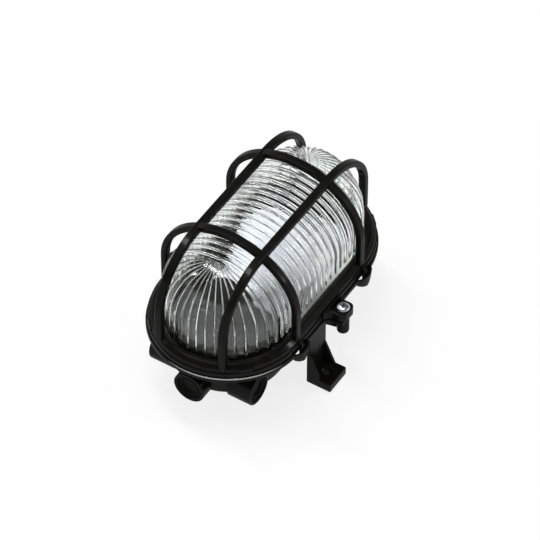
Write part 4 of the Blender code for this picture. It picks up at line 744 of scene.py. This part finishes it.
# Glass: pressed in one mould, clear with a trace of green. Round reeds run across the dome and fan
# out from a pole at each end; a plain band and a flange stand under them. Four clips hold it.
SIDE_RIBS = 18
END_RIBS = 16
GLASS_RADIUS = 47.5
# Half of a reed's section, from its middle: (way across, over the pitch; height, over REED).
FAN_REED = ((0.0, 1.0), (0.019, 0.95), (0.035, 0.78), (0.066, 0.35), (0.084, 0.10), (0.10, 0.0),
            (0.24, 0.0))
CROSS_REED = ((0.0, 1.0), (0.05, 0.97), (0.10, 0.88), (0.145, 0.74), (0.185, 0.55), (0.215, 0.33),
              (0.235, 0.12), (0.25, 0.0), (0.38, 0.0))
POLE_Y = 58.3
REED = 1.0
GLASS_WALL = 3.3
SPRING = RIM + 27.4
CROWN = RIM + 69.8


def reed_steps(profile, count):
    """Places of the stations across a number of reeds: one at each point of their profile."""
    places = sorted({0.0} | {0.5 + side * across for across, _ in profile for side in (-1, 1)})
    return [reed + place for reed in range(count) for place in places] + [count]


def glass_stations():
    """Stations round the glass: (ridge y, foot point, outward normal, place in the reed, fan)."""
    side = []
    for step in reed_steps(CROSS_REED, SIDE_RIBS):
        y = -POLE_Y + 2 * POLE_Y * step / SIDE_RIBS
        x = sqrt(GLASS_RADIUS ** 2 - max(abs(y) - SIDE_HALF, 0) ** 2)
        normal = Vector((x, y - max(-SIDE_HALF, min(SIDE_HALF, y)), 0)).normalized()
        side.append((y, Vector((x, y, 0)), normal, step % 1, False))
    fan = []
    offset = Vector((0, POLE_Y - SIDE_HALF, 0))
    for step in reed_steps(FAN_REED, END_RIBS)[1:-1]:
        angle = pi * step / END_RIBS
        along = Vector((cos(angle), sin(angle), 0))
        lead = offset.dot(along)
        reach = sqrt(lead ** 2 + GLASS_RADIUS ** 2 - offset.length_squared) - lead
        spot = offset + along * reach
        fan.append((POLE_Y, spot + Vector((0, SIDE_HALF, 0)), spot.normalized(), step % 1, True))
    half = side + fan
    return half + [(-ridge, -spot, -normal, *rest) for ridge, spot, normal, *rest in half]


def reed_swell(place, fan):
    """Height of a reed over the plain glass beside it, by the place across its pitch."""
    across = abs(place - 0.5)
    profile = FAN_REED if fan else CROSS_REED
    for (near, high), (far, low) in zip(profile, profile[1:]):
        if across < far:
            return REED * (high + (low - high) * (across - near) / (far - near))
    return 0.0


def make_glass():
    stations = glass_stations()
    bm = bmesh.new()

    def row(offset, z, ribbed=0.0):
        line = []
        for _, spot, normal, place, fan in stations:
            point = spot + normal * (offset + ribbed * reed_swell(place, fan))
            line.append(bm.verts.new((point.x, point.y, z)))
        return line

    def dome_point(station, share, inset, swell):
        ridge, spot, normal, _, _ = station
        root = Vector((0, ridge, 0))
        height = sqrt(max(0.0, 1 - share ** 2))
        flat = root + (spot - normal * inset - root) * share
        push = (normal * share + Vector((0, 0, height))).normalized() * swell
        return flat + Vector((0, 0, SPRING + (CROWN - SPRING - inset) * height)) + push

    def dome(rows, inset, ribbed):
        lines = []
        for k in range(rows):
            share = cos(pi / 2 * k / rows)
            line = []
            for station in stations:
                fade = min(1.0, share * 1.5) if station[4] else 1.0
                swell = ribbed * fade * reed_swell(*station[3:])
                line.append(bm.verts.new(dome_point(station, share, inset, swell)))
            lines.append(line)
        crest = {}
        top = []
        for station in stations:
            key = round(station[0], 4)
            if key not in crest:
                at_pole = abs(station[0]) > POLE_Y - 0.01
                swell = 0.0 if at_pole else ribbed * reed_swell(*station[3:])
                crest[key] = bm.verts.new(dome_point(station, 0.0, inset, swell))
            top.append(crest[key])
        return lines + [top]

    foot, flange_top, reeds_start = RIM + 2.0, RIM + 5.6, RIM + 11
    rows = dome(28, GLASS_WALL, 0.0)[::-1]
    for offset, height in (
            (-GLASS_WALL, foot + 0.5), (-GLASS_WALL + 0.5, foot), (4.2, foot), (4.7, foot + 0.5),
            (4.7, flange_top - 0.5), (4.2, flange_top), (0.6, flange_top), (0, flange_top + 0.6),
            (0, reeds_start)):
        rows.append(row(offset, height))
    for k in range(1, 5):
        rows.append(row(0, reeds_start + 1.4 * k / 4, sin(pi / 2 * k / 4)))
    rows += dome(30, 0.0, 1.0)
    for low, high in zip(rows, rows[1:]):
        skin(bm, low, high)
    return finish_shape("glass_dome", bm, radians(60))


def glass_material():
    """Clear glass, yellower at its foot and hazy in patches, that light falls through."""
    material, tree, shader = start_material(
        "ribbed_glass", Transmission_Weight=1.0, IOR=1.5, Specular_IOR_Level=0.5)
    where = add_node(tree, "TexCoord").outputs["Object"]
    slow = spread(tree, noise(tree, where, 35.0, 2.0), 0.35, 0.65)
    tint = mix_colours(tree, slow, (0.93, 0.965, 0.95), (0.97, 0.99, 0.98))
    low = spread(tree, along_axis(tree, where, "Z"), (RIM + 22) * MM, (RIM + 6) * MM)
    tint = mix_colours(tree, low, tint, (0.88, 0.91, 0.80))
    haze = spread(tree, noise(tree, where, 260.0, 4.0), 0.45, 0.8, 0.008, 0.05)
    dress(tree, shader, tint, haze, noise(tree, where, 160.0, 2.0), 0.00008)
    shadow_ray = add_node(tree, "LightPath").outputs["Is Shadow Ray"]
    clear = add_node(tree, "BsdfTransparent", Color=(0.93, 0.95, 0.94, 1))
    surface = mix_shaders(tree, shadow_ray, shader, clear)
    feed_all(tree, tree.nodes["Material Output"], Surface=surface)
    return material


show(make_glass(), "guard", ["glass_diffuser"], glass_material())

# Closing screw: a zinc-plated machine screw with a pan head and a cross recess. It is captive in
# the guard's ear, where a sprung ring holds it, and its thread takes hold in a brass insert.


def build_metal_group():
    """Fine turning lines and slow patches of a plated or rolled metal."""
    group, given, result = group_of(
        "metal_finish", (("Line Size", 0.0002), ("Patch Size", 0.004)), ("Lines", "Patches"))
    where = add_node(group, "TexCoord").outputs["Object"]
    drawn = add_node(group, "Mapping", Vector=where, Scale=(1.0, 0.12, 1.0)).outputs["Vector"]
    lines = noise(group, drawn, maths(group, "DIVIDE", 1.0, given["Line Size"]), 2.0)
    patches = noise(group, where, maths(group, "DIVIDE", 1.0, given["Patch Size"]), 4.0, 0.6)
    feed_all(group, result, Lines=lines, Patches=patches)
    return group


metal_finish = build_metal_group()


def metal(name, dull, bright, rough):
    """Metal with two tones in patches, and fine lines in its gloss and relief."""
    material, tree, shader = start_material(name, Metallic=1.0)
    surface = use_group(tree, metal_finish)
    tones, gloss = two_tones(tree, surface["Patches"], dull, bright, rough)
    lined = maths(tree, "ADD", gloss, maths(tree, "MULTIPLY", surface["Lines"], 0.08))
    dress(tree, shader, tones, lined, surface["Lines"], 0.00002)
    return material


def reshape(obj, change):
    """Move an object's vertices along their radius, by what change(radius, angle, z) gives."""
    for vertex in obj.data.vertices:
        x, y, z = vertex.co / MM
        radius = hypot(x, y)
        move = change(radius, atan2(y, x), z)
        if move is not None:
            flat = Vector((x, y, 0)) * ((radius + move) / radius)
            vertex.co = flat * MM + Vector((0, 0, z * MM))
    return obj


def helix(name, outline, segments, wave, pitch, span):
    """Spin an outline, with a screw thread of the given wave over a span of heights."""
    low, high = span

    def thread(radius, angle, z):
        if not low < z < high or radius <= 0.1:
            return None
        fade = min(1.0, (z - low) / pitch * 2, (high - z) / pitch * 2)
        return wave * fade * cos(2 * pi * (z / pitch) - angle)

    return reshape(lathe(name, outline, segments), thread)


def pan_head(head, height):
    """Profile of a pan head, from its underside to the middle of its top."""
    side = [(head * 0.6, 0), (head * 0.985, 0), (head, height * 0.12), (head, height * 0.30)]
    dome = [(head * cos(a), height * (0.30 + 0.70 * sin(a)))
            for a in (pi / 2 * k / 9 for k in range(1, 7))]
    return side + dome + [(head * 0.36, height), (0, height)]


def screw_shape(name, radius, length, head, height, segments, pitch):
    """Cross-recessed pan-head screw; its threaded shank points down from under its head."""
    rows = round(length / pitch * 6)
    core = radius * 0.88
    outline = [(0, -length), (radius * 0.6, -length)]
    outline += [(core, -length * (1 - k / rows)) for k in range(1, rows)]
    outline += [(core, -0.01)] + pan_head(head, height)
    shape = helix("screw", outline, segments, radius * 0.12, pitch, (-length, -1.0))
    reach, half = head * 0.60, head * 0.12
    cross = []
    for turn in range(4):
        spin = Matrix.Rotation(turn * pi / 2, 2)
        cross += [spin @ Vector(corner) for corner in ((reach, -half), (reach, half), (half, half))]
    loops = [[(point.x * scale, point.y * scale, z) for point in cross]
             for scale, z in ((0.72, -height * 0.3), (0.95, height * 0.85), (1.1, height + 0.6))]
    return moulded(name, shape, [("DIFFERENCE", [skinned("cross", loops)])])


zinc = metal("zinc_plate", (0.34, 0.36, 0.38), (0.56, 0.58, 0.60), (0.22, 0.34))
closing = screw_shape("closing_screw", 2.0, 16.0, 4.7, 2.3, 56, 0.8)
seat = Matrix.Translation(Vector((SCREW_X, 0, RIM + 7.5)) * MM)
closing.data.transform(seat @ Matrix.Rotation(0.35, 4, "Z"))
show(closing, "guard", ["guard_screw"], zinc)

# Small screws: pan-head screws with cross recesses, headed from steel wire and zinc-plated. They
# hold clips, bracket, lampholder, terminal block and reflector; the clips' are a size smaller.
LAMP_AXIS = RIM + 16.0
HOLDER_BACK = -71.2
HOLDER_SCREWS = (9, -73.3)
CLIP_SEAT = RIM + 0.4
FLOOR_SEAT, REFLECTOR_SEAT = 27.1, 35.9
small_screw = screw_shape("small_screw", 1.4, 5.5, 2.7, 1.8, 32, 0.7)
dull_screw = screw_shape("dull_screw", 1.4, 5.5, 2.7, 1.8, 32, 0.7)
clip_screw = screw_shape("clip_screw", 1.2, 4.0, 2.2, 1.5, 32, 0.6)
dull_plate = metal("dull_plate", (0.060, 0.060, 0.060), (0.10, 0.10, 0.10), (0.50, 0.62))


def copy_screw(pattern, body, node, place, turn, direction=(0, 0, 1),
               finish=zinc):
    """Another screw on the same mesh, at a place and pointing its head along a direction."""
    obj = bpy.data.objects.new(node + "_shape", pattern.data)
    scene.collection.objects.link(obj)
    face = Vector(direction).to_track_quat("Z", "Y").to_matrix().to_4x4()
    spin = Matrix.Rotation(turn, 4, "Z")
    obj.matrix_world = Matrix.Translation(Vector(place) * MM) @ face @ spin
    show(obj, body, [node], finish)


for number, degrees in enumerate(CLIP_ANGLES, 1):
    spot = on_arc(degrees, CLIP_REACH) + Vector((0, 0, CLIP_SEAT))
    copy_screw(clip_screw, "guard", f"clip_screw_{number}", spot, 0.6 * number, (0, 0, -1))
for side, name in ((-1, "left"), (1, "right")):
    for part, (x, y), turn in (("bracket", BRACKET_SCREWS, 0.4), ("block", BLOCK_SCREWS, 0.9)):
        node = f"{part}_screw_{name}"
        copy_screw(small_screw, "base", node, (side * x, y, FLOOR_SEAT), turn * side)
    spot = (side * HOLDER_SCREWS[0], HOLDER_SCREWS[1], LAMP_AXIS)
    copy_screw(dull_screw, "base", f"holder_screw_{name}", spot, 1.2 * side, (0, -1, 0),
               finish=dull_plate)
for name, y, turn in zip(("near", "far"), REFLECTOR_SCREWS_Y, (0.3, 1.0)):
    copy_screw(small_screw, "base", f"reflector_screw_{name}", (0, y, REFLECTOR_SEAT), turn)
for pattern in (small_screw, dull_screw, clip_screw):
    bpy.data.objects.remove(pattern)

# Small metal parts: hinge pins cut from bright rod, spring-steel clips and screw ring, a rolled
# brass shell, contact and insert, and a bracket bent from dull grey plated sheet.


def coat(nodes, material):
    """Give CAD parts that keep their shape a finish."""
    for node in nodes:
        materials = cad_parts[node].data.materials
        materials.clear()
        materials.append(material)


steel = metal("spring_steel", (0.36, 0.36, 0.37), (0.52, 0.51, 0.50), (0.24, 0.38))
brass = metal("yellow_brass", (0.62, 0.44, 0.18), (0.83, 0.64, 0.31), (0.20, 0.36))
coat(["hinge_pin_near", "hinge_pin_far"], zinc)
coat(["screw_retainer"] + [f"glass_clip_{i}" for i in range(1, 5)], steel)
coat(["screw_insert", "lampholder_shell", "lampholder_contact"], brass)
coat(["lampholder_bracket"], dull_plate)

# Lampholder: a cup pressed from black thermoset, with a fluted grip ring round its mouth. Two
# screws through the bracket hold it from behind, and its shell and contact are brass.
holder_black = grained(
    "holder_thermoset", (0.006, 0.0056, 0.0052), (0.010, 0.009, 0.0085), (0.03, 0.028, 0.026),
    (0.36, 0.48), 0.0007, 0.00002, Specular_IOR_Level=0.06)
FLUTES, FLUTE_DEPTH = 30, 0.55
GRIP_START, GRIP_END = 19.4, 29.9


def flute(radius, angle, z):
    """How far the grip ring's wall is cut in at an angle and height."""
    if not GRIP_START < z < GRIP_END or radius <= 18:
        return None
    fade = min(1.0, (z - GRIP_START) / 1.4, (GRIP_END - z) / 1.4)
    return -FLUTE_DEPTH * fade * (0.5 + 0.5 * cos(FLUTES * angle))


def make_holder():
    outer = rounded([(0, 0), (19.5, 0, 2.2), (19.5, 16.6, 0.7), (18.1, 17.6, 0.5),
                     (18.1, 18.6, 0.3), (18.9, 19.2)], 4)
    grip = [(18.9, 19.2 + 9.6 * k / 12) for k in range(1, 13)]
    mouth = rounded([(18.9, 30.2, 0.3), (18.1, 31, 0.6), (15.4, 31, 0.8), (14.9, 29.6),
                     (14.9, 7), (0, 7)], 4)
    cup = reshape(lathe("lampholder_cup", outer + grip + mouth, 180), flute)
    put(cup, (0, HOLDER_BACK, LAMP_AXIS), (0, 1, 0))
    spots = [(side * HOLDER_SCREWS[0], HOLDER_BACK, LAMP_AXIS) for side in (-1, 1)]
    drilled = [put(rod("pilot", PILOT, -1, 4.2, 20), spot, (0, 1, 0)) for spot in spots]
    return moulded("lampholder_cup", cup, [("DIFFERENCE", drilled)])


show(make_holder(), "base", ["lampholder_body"], holder_black)

# Lamp: a pearl lamp with a large screw cap, seen through the reeds. The envelope is blown glass
# with a white coat inside; the cap is rolled sheet with a dark glass foot and a solder point.
TIP = 9.8
CAP_END = TIP + 27
LAMP_LENGTH, GLOBE = 105, 30


def pearl_material():
    """White coat behind clear glass, with slow patches in its tone and gloss."""
    material, tree, shader = start_material("pearl_envelope", Specular_IOR_Level=0.5)
    mottle = use_group(tree, mould_grain)["Mottle"]
    patches = spread(tree, mottle, 0.3, 0.7)
    tones = mix_colours(tree, patches, (0.66, 0.65, 0.74), (0.74, 0.73, 0.80))
    feed_all(tree, shader, Base_Color=tones, Roughness=spread(tree, mottle, 0.3, 0.7, 0.18, 0.30))
    return material


def envelope_profile():
    """Outline of the envelope: a neck in the cap, a smooth shoulder and a globe."""
    globe = TIP + LAMP_LENGTH - GLOBE
    join = radians(128)
    start = Vector((13.8, CAP_END + 4))
    end = Vector((GLOBE * sin(join), globe + GLOBE * cos(join)))
    out_start, out_end = Vector((0, 16)), Vector((-16 * cos(join), 16 * sin(join)))
    profile = [(0, CAP_END - 1), (12.4, CAP_END - 1), (12.9, CAP_END + 0.6), (13.6, CAP_END + 2)]
    for i in range(16):
        t = i / 16
        profile.append(tuple(start * (1 + 2 * t) * (1 - t) ** 2 + out_start * t * (1 - t) ** 2
                             + end * t * t * (3 - 2 * t) + out_end * t * t * (t - 1)))
    for i in range(32):
        angle = join * (1 - i / 32)
        profile.append((GLOBE * sin(angle), globe + GLOBE * cos(angle)))
    return profile + [(0, globe + GLOBE)]


def cap_profile():
    """Outline of the cap: solder point, glass foot, the wall that takes the thread, and its end."""
    foot = [(0, TIP), (2.6, TIP), (3.6, TIP + 0.5), (3.6, TIP + 1.2), (5, TIP + 1.6),
            (11.0, TIP + 4.6), (12.5, TIP + 5.4)]
    wall = [(12.65, 16.3 + 16 * k / 40) for k in range(41)]
    return foot + wall + [(12.7, CAP_END - 3.6), (13.1, CAP_END - 2.6), (13.2, CAP_END - 0.4),
                          (12.8, CAP_END), (0, CAP_END)]


cap_metal = metal("cap_sheet", (0.50, 0.50, 0.48), (0.66, 0.66, 0.63), (0.28, 0.42))
envelope = lathe("lamp_envelope", envelope_profile(), 72)
cap = helix("lamp_cap", cap_profile(), 64, 0.5, 3.63, (16.2, 32.4))
for shape, material in ((envelope, pearl_material()), (cap, cap_metal)):
    put(shape, (0, HOLDER_BACK, LAMP_AXIS), (0, 1, 0))
    show(shape, "base", ["lamp_bulb"], material)

# Terminal block: three ways moulded in one strip of dark thermoset, each with a port on both sides
# and a slotted screw over it. Two screws go down through it into posts of the base.
block_black = grained(
    "block_thermoset", (0.010, 0.009, 0.008), (0.017, 0.015, 0.013), (0.04, 0.036, 0.032),
    (0.34, 0.46), 0.0006, 0.00002, Specular_IOR_Level=0.25)
BLOCK_Y, BLOCK_UNDER, BLOCK_TOP = BLOCK_SCREWS[1], 25.3, 38.3
BLOCK_ENDS = [(x, side) for x in (-10, 0, 10) for side in (-1, 1)]


def make_terminal_block():
    removed = []
    port = rounded([(0, -5), (2.1, -5), (2.1, 0, 0.5), (3.0, 1), (0, 1)])
    well = rounded([(0, 0), (2.5, 0), (2.5, 2.6, 0.4), (3.2, 3.4), (0, 3.4)])
    for x, side in BLOCK_ENDS:
        removed.append(put(lathe("port", port, 28), (x, BLOCK_Y + side * 8, 30.7), (0, side, 0)))
        removed.append(put(lathe("well", well, 28), (x, BLOCK_Y + side * 4, 35.7)))
    for x in (-BLOCK_SCREWS[0], BLOCK_SCREWS[0]):
        removed.append(put(rod("sink", 3.0, 1.5, 14, 28), (x, BLOCK_Y, BLOCK_UNDER)))
        removed.append(put(rod("shank", PILOT, -1, 14, 20), (x, BLOCK_Y, BLOCK_UNDER)))
        for side in (-1, 1):
            y = BLOCK_Y + side * 6.6
            removed.append(block("groove", (x - 0.6, y - 2, 24), (x + 0.6, y + 2, 40)))
    strip = block("strip", (-15, BLOCK_Y - 8, BLOCK_UNDER), (15, BLOCK_Y + 8, BLOCK_TOP), 0.7)
    return moulded("terminal_strip", strip, [("DIFFERENCE", removed)])


show(make_terminal_block(), "base", ["terminal_block"], block_black)
barrel = lathe("grub", rounded([(0, 0), (2.1, 0), (2.1, 2, 0.25), (0, 2)]), 32)
slot = block("slot", (-0.35, -3, 1.2), (0.35, 3, 3))
grub = moulded("grub_screw", barrel, [("DIFFERENCE", [slot])])
for number, (x, side) in enumerate(BLOCK_ENDS, 1):
    copy_screw(grub, "base", f"terminal_screw_{number}", (x, BLOCK_Y + side * 4, 36), number + pi,
               finish=steel)
bpy.data.objects.remove(grub)

# Reflector: a shallow tray pressed from thin sheet and enamelled white. It lies under the lamp on
# two posts, turned up all round its edge, and throws the light up through the glass.
enamel = grained(
    "white_enamel", (0.70, 0.70, 0.74), (0.78, 0.78, 0.80), (0.60, 0.59, 0.57),
    (0.16, 0.26), 0.0016, 0.00003, Specular_IOR_Level=0.5)
REFLECTOR_RADIUS, REFLECTOR_NEAR = 35.3, -14 + 0.7
REFLECTOR_CORNER = 6


def reflector_edge(radius, near, z):
    """Outline of the reflector: a half circle at the far end and a rounded square near end."""
    loop = []
    for i in range(57):
        angle = pi * i / 56
        loop.append((radius * cos(angle), SIDE_HALF + radius * sin(angle), z))
    for side in (-1, 1):
        for i in range(9):
            angle = pi / 2 * (i if side < 0 else 8 - i) / 8
            x = radius - REFLECTOR_CORNER + REFLECTOR_CORNER * cos(angle)
            y = near + REFLECTOR_CORNER - REFLECTOR_CORNER * sin(angle)
            loop.append((side * x, y, z))
    return loop


def make_reflector():
    low = RIM - 18
    section = [(0, 0.8), (0.5, 1.0), (1.6, 3.6), (2.0, 4.3),
               (2.25, 4.5), (2.6, 4.3), (2.7, 3.9), (1.2, 0.5), (0.4, 0)]
    loops = [reflector_edge(REFLECTOR_RADIUS + out, REFLECTOR_NEAR - out, low + rise)
             for out, rise in section]
    plate = skinned("reflector_tray", loops)
    holes = [put(rod("hole", PILOT, -2, 3, 24), (0, y, low)) for y in REFLECTOR_SCREWS_Y]
    return moulded("reflector_tray", plate, [("DIFFERENCE", holes)])


show(make_reflector(), "base", ["reflector_plate"], enamel)

# Leads: two short solid-core leads in brown and blue sleeving, bent up from the block to the
# wells in the back of the lampholder. They keep their CAD route.
SLEEVE = (0.35, 0.5), 0.0005, 0.00002
brown = grained("brown_sleeving", (0.06, 0.025, 0.012), (0.10, 0.042, 0.02), (0.13, 0.10, 0.08),
                *SLEEVE)
blue = grained("blue_sleeving", (0.012, 0.035, 0.11), (0.02, 0.055, 0.15), (0.10, 0.11, 0.14),
               *SLEEVE)
coat(["lead_live"], brown)
coat(["lead_neutral"], blue)

# Blanking plugs: stepped discs in black rubber, pushed into the cable entries. A cable's size is
# cut out along one of the rings, so each plug is thinner towards its middle.
plug_rubber = grained(
    "plug_rubber", (0.004, 0.0038, 0.0036), (0.007, 0.0067, 0.0064), (0.022, 0.021, 0.020),
    (0.42, 0.56), 0.0006, 0.00003, Specular_IOR_Level=0.04)
plug_outline = rounded([
    (0, -9), (8.6, -9, 0.8), (9.7, -7.4, 0.3), (9.7, -1.5, 0.3), (9.3, -1.0, 0.2),
    (8.5, -1.0, 0.25), (8.2, -2.1, 0.25), (7.4, -2.1, 0.2), (7.1, -1.25, 0.2), (6.2, -1.25, 0.2),
    (5.9, -2.7, 0.25), (0.8, -2.9, 0.2), (0, -2.7)])
for name, face, out in entry_places():
    plug = put(lathe(f"plug_{name}", plug_outline, 64), face, out)
    show(plug, "base", [f"entry_plug_{name}"], plug_rubber)
